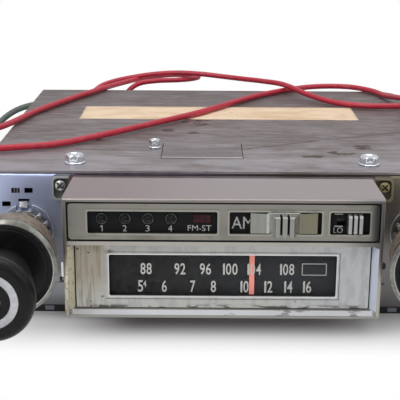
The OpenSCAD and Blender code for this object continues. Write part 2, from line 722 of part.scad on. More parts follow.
module tape_door() color("#b7b6b2") difference() {
    union() {
        front_profile(door_y, glass_y) round_rect(-door_half_w, door_half_w, door_z0, door_z1, 0.5);
        front_profile(door_y - 0.4, door_y + eps) round_rect(
            -dial_half_w - dial_rim_w, dial_half_w + dial_rim_w, dial_z0 - dial_rim_w, dial_z1 + dial_rim_w, 1);
        // two curled hinge barrels behind the upper edge
        for (x = barrel_x) {
            bar_x(hinge_y, hinge_z, door_pin_r + 0.6, x, x + barrel_w);
            block(x, x + barrel_w, glass_y - eps, hinge_y, hinge_z - 1, hinge_z + 0.9);
        }
    }
    front_profile(door_y - 1, glass_y + 1) round_rect(-dial_half_w, dial_half_w, dial_z0, dial_z1, 0.6);
    for (x = barrel_x) bar_x(hinge_y, hinge_z, door_pin_r + running, x - 1, x + barrel_w + 1);
    // relief for the spring's turns
    bar_x(hinge_y, hinge_z, door_pin_r + running + 2 * spring_wire_r + clear, -door_half_w - 1, barrel_x[0] - 0.4);
}

barrel_w = 5;
barrel_x = [-door_half_w + 4.6, door_half_w - 4.6 - barrel_w];
spring_wire_r = 0.25;

module dial_glass() color("#20242a", 0.6)
    front_profile(glass_y, tray_y) round_rect(-dial_half_w - 2, dial_half_w + 2, dial_z0 - 1.5, dial_z1 + 0.6, 0.6);

module dial_backplate() color("#0c0c0d") difference() {
    front_profile(tray_y, tray_y + tray_d)
        round_rect(-dial_half_w - 2, dial_half_w + 2, dial_z0 - 1.5, dial_z1 + 0.6, 0.6);
    front_profile(tray_y - 1, tray_y + tray_d - 0.6)
        round_rect(-dial_half_w - 1, dial_half_w + 1, dial_z0 - 0.7, dial_z1 - 0.2, 0.4);
}

module dial_pointer() color("#e0765a")
    front_profile(tray_y + clear, tray_y + tray_d - 0.6 - clear)
        translate([pointer_x - pointer_w / 2, dial_z0 - 0.4]) square([pointer_w, dial_z1 - dial_z0 - 0.1]);

module door_pin() color("#c0c4c8")
    bar_x(hinge_y, hinge_z, door_pin_r, -door_half_w - 2.2, door_half_w + 2.2);

// Torsion spring on the pin: closed turns and a fixed leg that bears on the bay's roof
module door_spring() color("#6f7276") {
    pitch = 2 * spring_wire_r;
    bore = door_pin_r + running;
    translate([-door_half_w + 1.1, hinge_y, hinge_z]) {
        rotate([0, 90, 0]) rotate_extrude() polygon(concat(
            [[bore, 4.5 * pitch], [bore, -pitch / 2]],
            [for (i = [0:4], p = [[0.3, -0.5], [1, -0.2], [1, 0.2]]) [bore + p[0] * pitch, (i + p[1]) * pitch]],
            [[bore + 0.3 * pitch, 4.5 * pitch]]
        ));
        translate([0, bore + spring_wire_r, 0]) cylinder(r = spring_wire_r, h = gate_z1 - hinge_z);
    }
}

// ---------- controls ----------

// Round plates with a notch for the front plate's tab
module shaft_plates() color("#a3a5a8") both_sides() translate([shaft_x, 0, shaft_z])
    front_profile(front_y - plate_t, front_y) difference() {
        circle(r = plate_r);
        circle(r = bushing_r + running);
        translate([-2 * shaft_x, -plate_r]) square([shaft_x + nose_w / 2 + clear, 2 * plate_r]);
        translate([tab_x - shaft_x - 2.9, tab_z0 - shaft_z - 1]) square([5.8, 6]);
    }

// Plate nuts: a plain seat, and a head with rounded teeth that stands clear of the locating tab
module bushing_nuts() color("#b4b6b8") at_shafts() difference() {
    union() {
        bar_y(0, 0, bushing_r + 2.2, front_y - plate_t - nut_t, front_y - plate_t);
        front_profile(front_y - plate_t - nut_t, front_y - tab_reach - clear) {
            circle(r = nut_r);
            for (i = [0:nut_teeth - 1]) rotate([0, 0, i * 360 / nut_teeth]) translate([nut_r + 0.5, 0]) circle(r = 0.85, $fn = 16);
        }
    }
    bar_y(0, 0, bushing_r + running, front_y - plate_t - nut_t - 1, front_y);
}

module bushing(tip) {
    difference() {
        bar_y(0, 0, bushing_r, front_y - tip, front_y + sheet_t + eps);
        bar_y(0, 0, sleeve_r + running, front_y - tip - 1, front_y + sheet_t + 1);
    }
}

bushing_tip = 9;
pot_r = 11;
pot_l = 20;
pot_y = front_y + sheet_t;

module volume_control() color("#8c8f92") translate([-shaft_x, 0, shaft_z]) {
    bushing(bushing_tip);
    difference() {
        union() {
            bar_y(0, 0, pot_r, pot_y, pot_y + pot_l);
            block(-pot_r + 2, pot_r - 2, pot_y + 4, pot_y + 14, -pot_r - 3, -pot_r + 2);
        }
        bar_y(0, 0, sleeve_r + running, pot_y - 1, pot_y + 8);
        bar_y(0, 0, shaft_r + running, pot_y - 1, pot_y + pot_l + 1);
        bar_y(0, 0, plunger_r + running, plunger_y - 1, pot_y + pot_l + 1);
    }
}

shaft_tip = knob_y + 6;          // front ends of the inner shafts, inside the knobs
sleeve_tip = ring_y + 1.5;       // front ends of the outer sleeves
plunger_r = 4;
plunger_y = pot_y + pot_l - 5;   // front of the plunger in the volume control's rear

module volume_shaft() color("#c8c19a")
    bar_y(-shaft_x, shaft_z, shaft_r, shaft_tip, plunger_y - clear);

module sleeve(x) difference() {
    bar_y(x, shaft_z, sleeve_r, sleeve_tip, pot_y + 6);
    bar_y(x, shaft_z, shaft_r + running, sleeve_tip - 1, pot_y + 7);
}

module tone_sleeve() color("#c8c19a") sleeve(-shaft_x);
module balance_sleeve() color("#c8c19a") sleeve(shaft_x);

// Outline of a front knob as (radius, distance behind its face): rounded face edge, flared side
module knob_outline() {
    r = 3;
    difference() {
        union() {
            polygon([
                [0, 0], [knob_r - r, 0], [knob_r, r], [knob_r, r + 1.5], [knob_rear_r, knob_l], [0, knob_l]
            ]);
            translate([knob_r - r, r]) circle(r = r);
        }
        translate([inlay_bore_r, -1]) square([inlay_r - inlay_bore_r, 1.6]);
        translate([0, -1]) square([4.4, 1.25]);
    }
    // rear hub, short enough to leave room for the push
    translate([0, knob_l - eps]) square([6, knob_gap - push_travel - 1]);
}

module knob(x) translate([x, knob_y, shaft_z]) difference() {
    turned_y() knob_outline();
    bar_y(0, 0, shaft_r, shaft_tip - knob_y, knob_l + knob_gap);
}

module inlay(x) translate([x, knob_y, shaft_z]) turned_y() difference() {
    translate([inlay_bore_r, 0.1]) square([inlay_r - inlay_bore_r, 0.5]);
    translate([(inlay_r + inlay_bore_r) / 2, -2.3]) circle(r = 2.55);
}

// A rear ring: rim with bevels on both sides of its crest, dished face, tapered drum, hollow back and a hub
module rear_ring(x) translate([x, ring_y, shaft_z]) {
    crest_r = ring_r - ring_bevel;
    hub_r = sleeve_r + 3;
    difference() {
        turned_y() difference() {
            polygon([
                [0, 1], [ring_disc_r, 1], [crest_r - 0.15, 0], [crest_r + 0.15, 0], [ring_r, 1.1],
                [ring_r, ring_rim_d], [crest_r, ring_rim_d + 0.6], [drum_r, ring_d - 0.8], [drum_r - 0.8, ring_d], [0, ring_d]
            ]);
            // shallow dish in the face
            translate([hub_r, -11.2]) circle(r = 12.6);
            translate([hub_r, ring_rim_d + 0.6]) square([drum_r - 1.8 - hub_r, ring_d]);
        }
        bar_y(0, 0, sleeve_r, -1, ring_d + 1);
    }
}

module volume_knob() color("#17171a") knob(-shaft_x);
module volume_inlay() color("#cdd0d2") inlay(-shaft_x);
module tone_ring() color("#c6c8ca") rear_ring(-shaft_x);
module tuning_knob() color("#17171a") knob(shaft_x);
module tuning_inlay() color("#cdd0d2") inlay(shaft_x);
module balance_ring() color("#c6c8ca") rear_ring(shaft_x);

// Sliding cup behind the volume control; the shaft pushes it against the program switch
module program_plunger() color("#d8d2c0") translate([-shaft_x, 0, shaft_z]) {
    bar_y(0, 0, plunger_r, plunger_y, plunger_y + 10);
    bar_y(0, 0, 1.5, plunger_y + 10 - eps, plunger_y + 13);
}

program_switch_y = plunger_y + 13 + push_travel + clear;

module program_switch() color("#4c4f52") {
    block(-shaft_x - 7, -shaft_x + 7, program_switch_y, program_switch_y + 7, shaft_z - 5, shaft_z + 5);
    block(-wall_x + sheet_t, -shaft_x - 7 + eps, program_switch_y + 1, program_switch_y + 6, shaft_z - 3, shaft_z + 3);
}

tuner_x0 = shaft_x - 11;
tuner_z0 = 15;
tuner_z1 = nose_screw_z - 2.4;
tuner_l = 44;

// Closed tuner can with a bushing, pressed ribs and three trimmer cups
module tuner_box() color("#a9abae") {
    difference() {
        union() {
            block(tuner_x0, wall_x - sheet_t, pot_y, pot_y + tuner_l, tuner_z0, tuner_z1);
            for (i = [0:2]) translate([tuner_x0 + 4 + i * 9, pot_y + tuner_l - 8, tuner_z1 - eps]) cylinder(r = 2.6, h = 2);
            for (i = [0:3]) block(tuner_x0 - 0.6, tuner_x0 + eps, pot_y + 6 + i * 9, pot_y + 9 + i * 9, tuner_z0 + 4, tuner_z1 - 4);
        }
        bar_y(shaft_x, shaft_z, sleeve_r + running, pot_y - 1, pot_y + 8);
        bar_y(shaft_x, shaft_z, shaft_r + running, pot_y - 1, pot_y + 20);
    }
    translate([shaft_x, 0, shaft_z]) bushing(bushing_tip);
}

module tuning_shaft() color("#c8c19a") bar_y(shaft_x, shaft_z, shaft_r, shaft_tip, pot_y + 19.7);

// ---------- tape deck ----------

deck_half_w = wall_x - sheet_t - 4.6;
deck_y0 = front_y + sheet_t + 1;
deck_y1 = rear_y - sheet_t - 2;

// Deck plate on two folded legs, with posts for the circuit board
module deck_plate() color("#9da0a3") {
    difference() {
        union() {
            plan_profile(deck_z - deck_t, deck_z) round_rect(-deck_half_w, deck_half_w, deck_y0, deck_y1, 3);
            both_sides() block(deck_half_w - deck_t, deck_half_w, deck_y0 + 3, deck_y1 - 3, sheet_t, deck_z - eps);
        }
        translate([capstan_x, capstan_y, 0]) cylinder(r = bearing_r, h = deck_z + 1);
        translate([motor_x, motor_y, 0]) cylinder(r = pulley_r + 2, h = deck_z + 1);
    }
    for (p = posts) translate([p[0], p[1], deck_z - eps]) cylinder(r = post_r, h = board_z - deck_z + eps);
    translate([bracket_post[0], bracket_post[1], deck_z - eps]) cylinder(r = 2, h = 22);
    translate([cam_x, cam_y, deck_z - eps]) cylinder(r = 2, h = cam_z0 + cam_base + head_lift + 1 - deck_z);
}

board_x0 = -70;
board_x1 = 36;
board_y0 = front_y + 44;
board_y1 = rear_y - 12;
posts = [
    [board_x0 + 4, board_y0 + 4], [board_x0 + 4, board_y1 - 4], [board_x1 - 4, board_y1 - 4]
];

// Pair of Z-shaped rails that guide the cartridge and hold it down
module guide_rails() color("#b8bbbd") both_sides() {
    y0 = front_y + 4;
    y1 = cart_y - 8;
    block(rail_x, rail_x + 1, y0, y1, deck_z, rail_z1 + 1);
    block(rail_x - 5, rail_x + eps, y0 + 4, y1, rail_z1, rail_z1 + 1);
    block(rail_x + 1 - eps, rail_x + 6, y0, y1, deck_z, deck_z + 1);
}

// Switch that the cartridge's rear edge presses
module cartridge_switch() color("#2f3336") {
    block(-44, -26, cart_y + 3, cart_y + 11, deck_z, deck_z + 14);
    block(-37, -33, cart_y + clear, cart_y + 3 + eps, deck_z + 6, deck_z + 8);
}

bearing_r = 4.6;
flywheel_z0 = 2.6;
axle_top = deck_z + 20;

module flywheel() color("#b1a98f") translate([capstan_x, capstan_y, flywheel_z0]) difference() {
    cylinder(r = flywheel_r, h = flywheel_t);
    difference() {
        translate([0, 0, -eps]) cylinder(r = flywheel_r - 5, h = 1.6);
        translate([0, 0, -1]) cylinder(r = 7, h = 4);
    }
    for (i = [0:5]) rotate([0, 0, i * 60]) translate([15, 0, -1]) cylinder(r = 3.4, h = flywheel_t + 2);
    translate([0, 0, -1]) cylinder(r = capstan_r, h = flywheel_t + 2);
}

module capstan() color("#d6dade") translate([capstan_x, capstan_y, sheet_t + clear])
    cylinder(r = capstan_r, h = axle_top - sheet_t - clear);

module capstan_bearing() color("#a8894a") translate([capstan_x, capstan_y, 0]) difference() {
    union() {
        translate([0, 0, flywheel_z0 + flywheel_t + clear]) cylinder(r = bearing_r + 1.6, h = deck_z - deck_t - flywheel_z0 - flywheel_t - clear);
        translate([0, 0, deck_z - deck_t - eps]) cylinder(r = bearing_r, h = deck_t + eps);
    }
    cylinder(r = capstan_r + running, h = chassis_h);
}

motor_z0 = deck_z;

module motor() color("#8f9296") translate([motor_x, motor_y, motor_z0]) {
    difference() {
        union() {
            cylinder(r = motor_r, h = motor_l);
            translate([0, 0, motor_l - eps]) cylinder(r = motor_r - 4, h = 1.5);
            for (i = [0:2]) rotate([0, 0, i * 120 + 30]) translate([motor_r - 1, -3, 0]) cube([5, 6, 1.2]);
        }
        translate([0, 0, -1]) cylinder(r = 1.2 + running, h = 6);
    }
}

pulley_z0 = flywheel_z0 + 0.4;

module motor_pulley() color("#c7a85a") translate([motor_x, motor_y, 0]) {
    translate([0, 0, pulley_z0]) difference() {
        cylinder(r = pulley_r, h = flywheel_t - 0.8);
        translate([0, 0, 1]) difference() {
            cylinder(r = pulley_r + 1, h = 2.2);
            cylinder(r = pulley_r - 0.3, h = 2.2);
        }
    }
    translate([0, 0, pulley_z0 + flywheel_t - 0.8 - eps]) cylinder(r = 1.2, h = motor_z0 + 4.5 - pulley_z0 - flywheel_t + 0.8);
}

belt_span = norm([motor_x - capstan_x, motor_y - capstan_y]);
belt_turn = atan2(motor_y - capstan_y, motor_x - capstan_x);

module drive_belt() color("#26262a")
    translate([capstan_x, capstan_y, flywheel_z0 + 1.4]) rotate([0, 0, belt_turn]) linear_extrude(height = 2) difference() {
        polygon(belt_outline(flywheel_r, pulley_r, belt_span, running + belt_t));
        polygon(belt_outline(flywheel_r, pulley_r, belt_span, running));
    }

cam_pin_r = 8;       // radius of the follower's track on the cam
cam_z0 = deck_z + clear;
cam_base = 1.2;
cam_step = head_lift / 3;
head_x = 6;
head_y = cart_y + clear;
head_z0 = cam_z0 + cam_base + head_lift + clear + 1.2;

// Tape head: a can whose face is domed to the tape
module tape_head() color("#d4d6d8") {
    intersection() {
        block(head_x - 6, head_x + 6, head_y, head_y + 10, head_z0, head_z0 + 12);
        translate([head_x, head_y + 14, head_z0]) cylinder(r = 14, h = 12);
    }
    for (i = [-1, 1], j = [0, 1]) bar_y(head_x + i * 2.5, head_z0 + 4 + j * 4, 0.5, head_y + 10 - eps, head_y + 13);
}

bracket_post = [head_x + 15, head_y + 8];

// Arm that carries the head, slides on a post and rests on the cam
module head_bracket() color("#b3b5b8") {
    difference() {
        union() {
            plan_profile(head_z0 - 1.2, head_z0) polygon([
                [head_x - 6, head_y + 1], [head_x + 6, head_y + 1], [bracket_post[0] + 4, bracket_post[1] - 4],
                [bracket_post[0] + 4, bracket_post[1] + 4], [head_x - 2, bracket_post[1] + 6],
                [cam_x + 4, cam_y - cam_pin_r - 3], [cam_x + 4, cam_y - cam_pin_r + 3],
                [cam_x - 3, cam_y - cam_pin_r + 3], [cam_x - 3, cam_y - cam_pin_r - 3]
            ]);
            translate([bracket_post[0], bracket_post[1], head_z0 - eps]) cylinder(r = 3.6, h = 9);
        }
        translate([bracket_post[0], bracket_post[1], deck_z]) cylinder(r = 2 + running, h = 30);
    }
    // follower pin over the cam
    translate([cam_x, cam_y - cam_pin_r, cam_z0 + cam_base + clear]) cylinder(r = 1.2, h = head_z0 - 1.2 - cam_z0 - cam_base - clear + eps);
}

// Ratchet wheel whose upper face climbs in four equal steps
module program_cam() color("#e4dfcf") translate([cam_x, cam_y, cam_z0]) difference() {
    union() {
        linear_extrude(height = cam_base) difference() {
            circle(r = cam_r);
            for (i = [0:11]) rotate([0, 0, i * 30]) translate([cam_r - 1, 0]) polygon([[0, 0], [2, 0], [2, 3]]);
        }
        // sectors one, two and three steps high; each comes under the follower once it has risen
        for (k = [1:3]) translate([0, 0, cam_base - eps]) linear_extrude(height = k * cam_step + eps) intersection() {
            circle(r = cam_r - 1.5);
            sector(step_lead - 90 - 90 * k, 90);
        }
    }
    translate([0, 0, -1]) cylinder(r = 2 + running, h = 10);
}

step_lead = 17;

// A wide wedge from angle a, turning backwards by the angle w
module sector(a, w) polygon([
    [0, 0], 2 * cam_r * [cos(a), sin(a)], 2 * cam_r * [cos(a - w / 2), sin(a - w / 2)],
    2 * cam_r * [cos(a - w), sin(a - w)]
]);

pawl_y = cam_y + cam_r + clear + 2.5;
solenoid_x = -36;
pull = 5;            // travel of the plunger

// Solenoid frame round a coil, bored for its plunger
module solenoid() color("#8a5a3a") difference() {
    union() {
        block(solenoid_x - 22, solenoid_x, pawl_y - 7, pawl_y + 7, deck_z, deck_z + 1);
        for (x = [solenoid_x - 22, solenoid_x - 1.5]) block(x, x + 1.5, pawl_y - 7, pawl_y + 7, deck_z, deck_z + 14);
        bar_x(pawl_y, deck_z + 7, 5.9, solenoid_x - 22 + eps, solenoid_x - eps);
    }
    bar_x(pawl_y, deck_z + 7, 2.5 + running, solenoid_x - 10 - pull - clear, solenoid_x + 1);
}

// Plunger with the pawl that steps the cam
module solenoid_plunger() color("#c3c5c7") {
    bar_x(pawl_y, deck_z + 7, 2.5, solenoid_x - 10, solenoid_x + 7);
    block(solenoid_x + 7 - eps, solenoid_x + 8.5, pawl_y - 2.5, pawl_y + 2, cam_z0 + 0.1, deck_z + 9);
    block(solenoid_x + 8.5 - eps, cam_x - 2, pawl_y - 2.5, pawl_y - 1, cam_z0 + 0.1, cam_z0 + cam_base);
}

// ---------- circuit board ----------

// Circuit board with its coil cans, capacitors and a connector
module main_board() color("#7a6a3a") {
    difference() {
        block(board_x0, board_x1, board_y0, board_y1, board_z, board_z + board_t);
        for (p = posts) translate([p[0], p[1], board_z - 1]) cylinder(r = 1.5, h = board_t + 2);
    }
    top = board_z + board_t - eps;
    for (i = [0:2]) block(-54 + i * 15, -45 + i * 15, board_y0 + 14, board_y0 + 23, top, top + 11);
    for (p = [[-40, 12], [-24, 30], [-2, 40], [14, 8]]) translate([p[0], p[1], top]) cylinder(r = 4, h = 11);
    block(4, 20, board_y0 + 8, board_y0 + 14, top, top + 5);
}

// ---------- rear ----------

stud_x = wall_x - 23.6;
stud_z = 24;
sink_x = -4;
sink_z0 = 8;
sink_z1 = 50;

module heat_sink() color("#2b2d30") {
    x0 = sink_x - sink_w / 2;
    front_profile(rear_y, rear_y + 2.5) round_rect(x0, x0 + sink_w, sink_z0, sink_z1, 1);
    pitch = (sink_w - fin_t) / (fin_count - 1);
    for (i = [0:fin_count - 1])
        block(x0 + i * pitch, x0 + i * pitch + fin_t, rear_y + 2.5 - eps, rear_y + 2.5 + fin_h, sink_z0, sink_z1);
}

// Two flat power transistors on the inside of the rear panel
module power_transistors() color("#b9bcbe")
    for (x = [sink_x - 26, sink_x + 22]) {
        front_profile(rear_y - sheet_t - 1.6, rear_y - sheet_t) translate([x, 30]) {
            circle(r = 10);
            round_rect(-19, 19, -4, 4, 3.9);
        }
        bar_y(x, 30, 8, rear_y - sheet_t - 7, rear_y - sheet_t - 1.6 + eps);
    }

grommet_neck_r = 3.8;
power_exit_x = -wall_x + 23.6;
power_exit_z = chassis_h - 10;
aerial_exit_x = -wall_x + 9.6;
aerial_exit_z = chassis_h - 12;

module grommet(x, z, bore) difference() {
    union() {
        bar_y(x, z, grommet_neck_r - running, rear_y - sheet_t - 1.2, rear_y + 1.2);
        bar_y(x, z, 5.2, rear_y, rear_y + 2.4);
        bar_y(x, z, 5.2, rear_y - sheet_t - 2, rear_y - sheet_t);
    }
    bar_y(x, z, bore, rear_y - 5, rear_y + 4);
}

module lead_grommets() color("#1d1d1f") {
    grommet(power_exit_x, power_exit_z, lead_dia / 2 + running);
    grommet(aerial_exit_x, aerial_exit_z, aerial_dia / 2 + running);
}

// ---------- leads ----------

// The power lead's route: out of the rear, over the cover and back
power_route = [
    [power_exit_x, rear_y - 3, power_exit_z], [power_exit_x, rear_y + 4.5, power_exit_z],
    [-67.5, 92, 48], [-67, 98.5, 50.8], [-62.5, 104.5, 54], [-56, 108, 55.9], [-49, 109.5, 57.3], [-36, 110, 59.4],
    [-22.5, 109.5, 60.5], [-9, 107, 60.4], [4.5, 102.5, 59.7], [15, 96, 59.6], [22, 90, 59.9],
    [34, 76, 60.4], [45, 58, 58.6], [56, 44, 57.6], [71, 36, 57.5],
    [87, 35, 57.7], [101, 36.5, 57.2], [109, 34.5, 56.6], [113, 28, 56.4], [113, 20, 56.7], [108, 14, 57.2],
    [101, 13.5, 58.2], [95, 19, 59.4], [90.5, 33, 60.9],
    [87, 47, 59.6], [84, 61, 57.8], [79, 76, 57.5], [68, 87, 57.5], [52, 87, 57.5], [36, 77, 57.5],
    [18, 58, 57.5], [4, 37, 57.7], [-10, 16, 57.7], [-30, -8, 57.7], [-50, -31, 57.7], [-67, -46, 57.5],
    [-86, -54, 57.7], [-99, -56, 57.2], [-108, -53, 56.8], [-112, -45, 56.8], [-109, -35, 57], [-101, -26, 57.5],
    [-93, -13, 57.7], [-84, 20, 57.5], [-72, 50, 57.5], [-60, 76, 57.5], [-53, 91, 57.3], [-45, 106, 57],
    [-36, 118, 56.8], [-25, 124, 57], [-14.5, 122, 57.1], [-10, 116.5, 57.1], [-14, 110.8, 57], [-22, 107.5, 56.9],
    [-33, 104.5, 56.9], [-43, 101.5, 55.4], [-49.5, 99.5, 49.5], [-53, 101, 39], [-56, 104, 26], [-57, 108, 13], [-54, 114, 5], [-47, 121, 2.2],
    [-41, 126, 2.2]
];

// The aerial lead's route: out of the rear, round the left side and back behind the object
aerial_route = [
    [aerial_exit_x, rear_y - 3, aerial_exit_z], [aerial_exit_x, rear_y + 2.5, aerial_exit_z],
    [-82, 90, 45], [-89, 93, 46.3], [-98, 92, 45.8], [-108, 89, 42.6], [-116, 84, 36],
    [-120, 80, 26], [-121, 78, 14], [-121, 80, 6], [-120, 86, 2.2], [-115, 94, 1.7], [-108, 99, 1.7],
    [-102, 104, 2.6], [-98.6, 110, 4.6], [-98, 116, 5.6], [-98, 120, 5.6]
];

function unit(a) = a / norm(a);

function tangent(p, i) = unit(p[min(i + 1, len(p) - 1)] - p[max(i - 1, 0)]);

// A reference direction that stays square to the route as it is carried along
function carried(p, i, last) = i >= len(p) ? [] : let (
    t = tangent(p, i), s = unit(last - t * (last * t))
) concat([s], carried(p, i + 1, s));

// A round tube swept along the points
module tube(p, r, sides) {
    side = carried(p, 0, [0, 0, 1]);
    n = len(p);
    rings = [
        for (i = [0:n - 1], j = [0:sides - 1])
            let (t = tangent(p, i), u = side[i], v = cross(t, u), a = j * 360 / sides)
                p[i] + r * (cos(a) * u + sin(a) * v)
    ];
    polyhedron(rings, concat(
        [[for (j = [0:sides - 1]) j]],
        [for (i = [0:n - 2], j = [0:sides - 1])
            let (k = (j + 1) % sides) [i * sides + j, (i + 1) * sides + j, (i + 1) * sides + k, i * sides + k]],
        [[for (j = [sides - 1:-1:0]) (n - 1) * sides + j]]
    ));
}

module power_lead() color("#b3202a") tube(power_route, lead_dia / 2, 8);

module antenna_lead() color("#5d6660") tube(aerial_route, aerial_dia / 2, 8);

// A bullet connector with an insulating sleeve, lying where the power lead ends
module power_connector() color("#b3202a") {
    a = power_route[len(power_route) - 1];
    b = power_route[len(power_route) - 2];
    translate(a) rotate([0, 0, atan2(a[1] - b[1], a[0] - b[0])]) rotate([0, 90, 0]) {
        cylinder(r = 2.2, h = 15);
        translate([0, 0, 15 - eps]) cylinder(r = 1.8, h = 6);
    }
}

// In-line aerial socket: a sleeve with a stepped body and a blind bore
module antenna_socket() color("#c9ccce") {
    a = aerial_route[len(aerial_route) - 1];
    translate([a[0], a[1], socket_r]) rotate([-90, 0, 0]) difference() {
        union() {
            cylinder(r = socket_r - 1.6, h = 6);
            translate([0, 0, 6 - eps]) cylinder(r = socket_r, h = 24);
            translate([0, 0, 12]) cylinder(r = socket_r, h = 2);
        }
        translate([0, 0, 12]) cylinder(r = socket_bore_r, h = 30);
    }
}

chassis_frame();
front_plate();
rear_panel();
top_cover();
bottom_cover();
cover_screws();
label_strip();
nosepiece();
nose_screws();
control_panel();
legend_plate();
track_lenses();
stereo_lens();
band_slider();
distance_slider();
slide_switches();
tape_door();
dial_glass();
dial_backplate();
dial_pointer();
door_pin();
door_spring();
shaft_plates();
bushing_nuts();
volume_control();
volume_shaft();
tone_sleeve();
volume_knob();
volume_inlay();
tone_ring();
program_plunger();
program_switch();
tuner_box();
tuning_shaft();
balance_sleeve();
tuning_knob();
tuning_inlay();
balance_ring();
deck_plate();
guide_rails();
cartridge_switch();
flywheel();
capstan();
capstan_bearing();
motor();
motor_pulley();
drive_belt();
tape_head();
head_bracket();
program_cam();
solenoid();
solenoid_plunger();
main_board();
heat_sink();
power_transistors();
lead_grommets();
power_lead();
power_connector();
antenna_lead();
antenna_socket();
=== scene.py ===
"""Looks of an in-dash eight-track tape player with a two-band radio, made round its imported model."""

from __future__ import annotations

import json
import logging
import math
from dataclasses import dataclass
from enum import Enum
from typing import Iterable, Sequence

import bmesh
import bpy
from mathutils import Matrix, Vector

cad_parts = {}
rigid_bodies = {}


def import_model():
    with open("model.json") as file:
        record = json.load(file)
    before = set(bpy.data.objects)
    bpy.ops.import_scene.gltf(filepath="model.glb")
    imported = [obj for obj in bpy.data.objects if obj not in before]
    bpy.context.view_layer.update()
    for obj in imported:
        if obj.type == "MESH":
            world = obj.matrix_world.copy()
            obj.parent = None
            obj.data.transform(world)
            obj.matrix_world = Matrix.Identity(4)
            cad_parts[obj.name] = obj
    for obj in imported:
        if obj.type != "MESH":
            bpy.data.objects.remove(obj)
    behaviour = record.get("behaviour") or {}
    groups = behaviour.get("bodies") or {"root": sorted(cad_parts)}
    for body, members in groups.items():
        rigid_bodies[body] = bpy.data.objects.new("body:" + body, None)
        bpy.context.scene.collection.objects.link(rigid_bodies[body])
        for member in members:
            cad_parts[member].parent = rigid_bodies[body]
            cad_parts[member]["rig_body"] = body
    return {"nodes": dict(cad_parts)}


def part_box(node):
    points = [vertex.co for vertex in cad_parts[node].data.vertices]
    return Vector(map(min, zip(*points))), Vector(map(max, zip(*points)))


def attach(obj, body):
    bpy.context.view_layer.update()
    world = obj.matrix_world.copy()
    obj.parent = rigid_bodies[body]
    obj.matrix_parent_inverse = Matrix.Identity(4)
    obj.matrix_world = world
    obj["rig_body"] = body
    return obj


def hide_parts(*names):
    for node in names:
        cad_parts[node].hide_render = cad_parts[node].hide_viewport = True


LOG = logging.getLogger("tape_player")
MM = 0.001
Colour = tuple[float, float, float]
Point = tuple[float, float, float]
Profile = Sequence[tuple[float, float]]

# Both control shafts, in millimetres: distance from the middle, and height
SHAFT_X = 73.0
SHAFT_Z = 33.0
# Height of the lid's face, and places along Y of the faces that look to the front, in millimetres
LID_Z = 56.0
FRONT_Y = -81.5
NOSE_Y = -108.5
PANEL_Y = -108.3
DOOR_Y = -105.5
RING_Y = -124.0


def srgb(red: float, green: float, blue: float) -> Colour:
    """Turns 8-bit display values into the linear colour that a shader takes."""

    def linear(value: float) -> float:
        """One channel, from 0-255 to linear light."""
        share = value / 255
        return share / 12.92 if share <= 0.04045 else ((share + 0.055) / 1.055) ** 2.4

    return linear(red), linear(green), linear(blue)


class Axis(Enum):
    """Direction that a metal's grain runs along."""

    X = (0.06, 1.0, 1.0)
    Y = (1.0, 0.06, 1.0)
    Z = (1.0, 1.0, 0.06)
    NONE = (1.0, 1.0, 1.0)


# ---------------------------------------------------------------- shader maths


class Wire:
    """A node's output that takes part in Python arithmetic."""

    def __init__(self, shader: Shader, socket: bpy.types.NodeSocket) -> None:
        """Wraps the socket of one of the shader's nodes."""
        self.shader = shader
        self.socket = socket

    def _math(self, operation: str, first: Wire | float, second: Wire | float) -> Wire:
        """Adds a Math node for one operation."""
        return self.shader.node("ShaderNodeMath", {"operation": operation}, {0: first, 1: second})

    def __add__(self, other: Wire | float) -> Wire:
        """Sum."""
        return self._math("ADD", self, other)

    __radd__ = __add__

    def __sub__(self, other: Wire | float) -> Wire:
        """Difference."""
        return self._math("SUBTRACT", self, other)

    def __rsub__(self, other: float) -> Wire:
        """Difference from a number."""
        return self._math("SUBTRACT", other, self)

    def __mul__(self, other: Wire | float) -> Wire:
        """Product."""
        return self._math("MULTIPLY", self, other)

    __rmul__ = __mul__

    def __abs__(self) -> Wire:
        """Size without sign."""
        return self._math("ABSOLUTE", self, 0.0)

    def above(self, low: float, high: float) -> Wire:
        """A soft step, 0 below low and 1 above high.

        Args:
            low: Value at which the step starts.
            high: Value at which it has risen to 1.

        Returns:
            The stepped value.
        """
        settings = {"interpolation_type": "SMOOTHSTEP"}
        return self.shader.node("ShaderNodeMapRange", settings, {0: self, 1: low, 2: high})

    def between(self, low: float, high: float, soft: float = 0.1) -> Wire:
        """1 between two values, falling softly to 0 within a short width outside them."""
        return self.above(low - soft, low) * (1 - self.above(high, high + soft))

    def near(self, value: float, reach: float) -> Wire:
        """1 at a value, falling softly to 0 at the given reach on both sides."""
        return 1 - abs(self - value).above(0.0, reach)


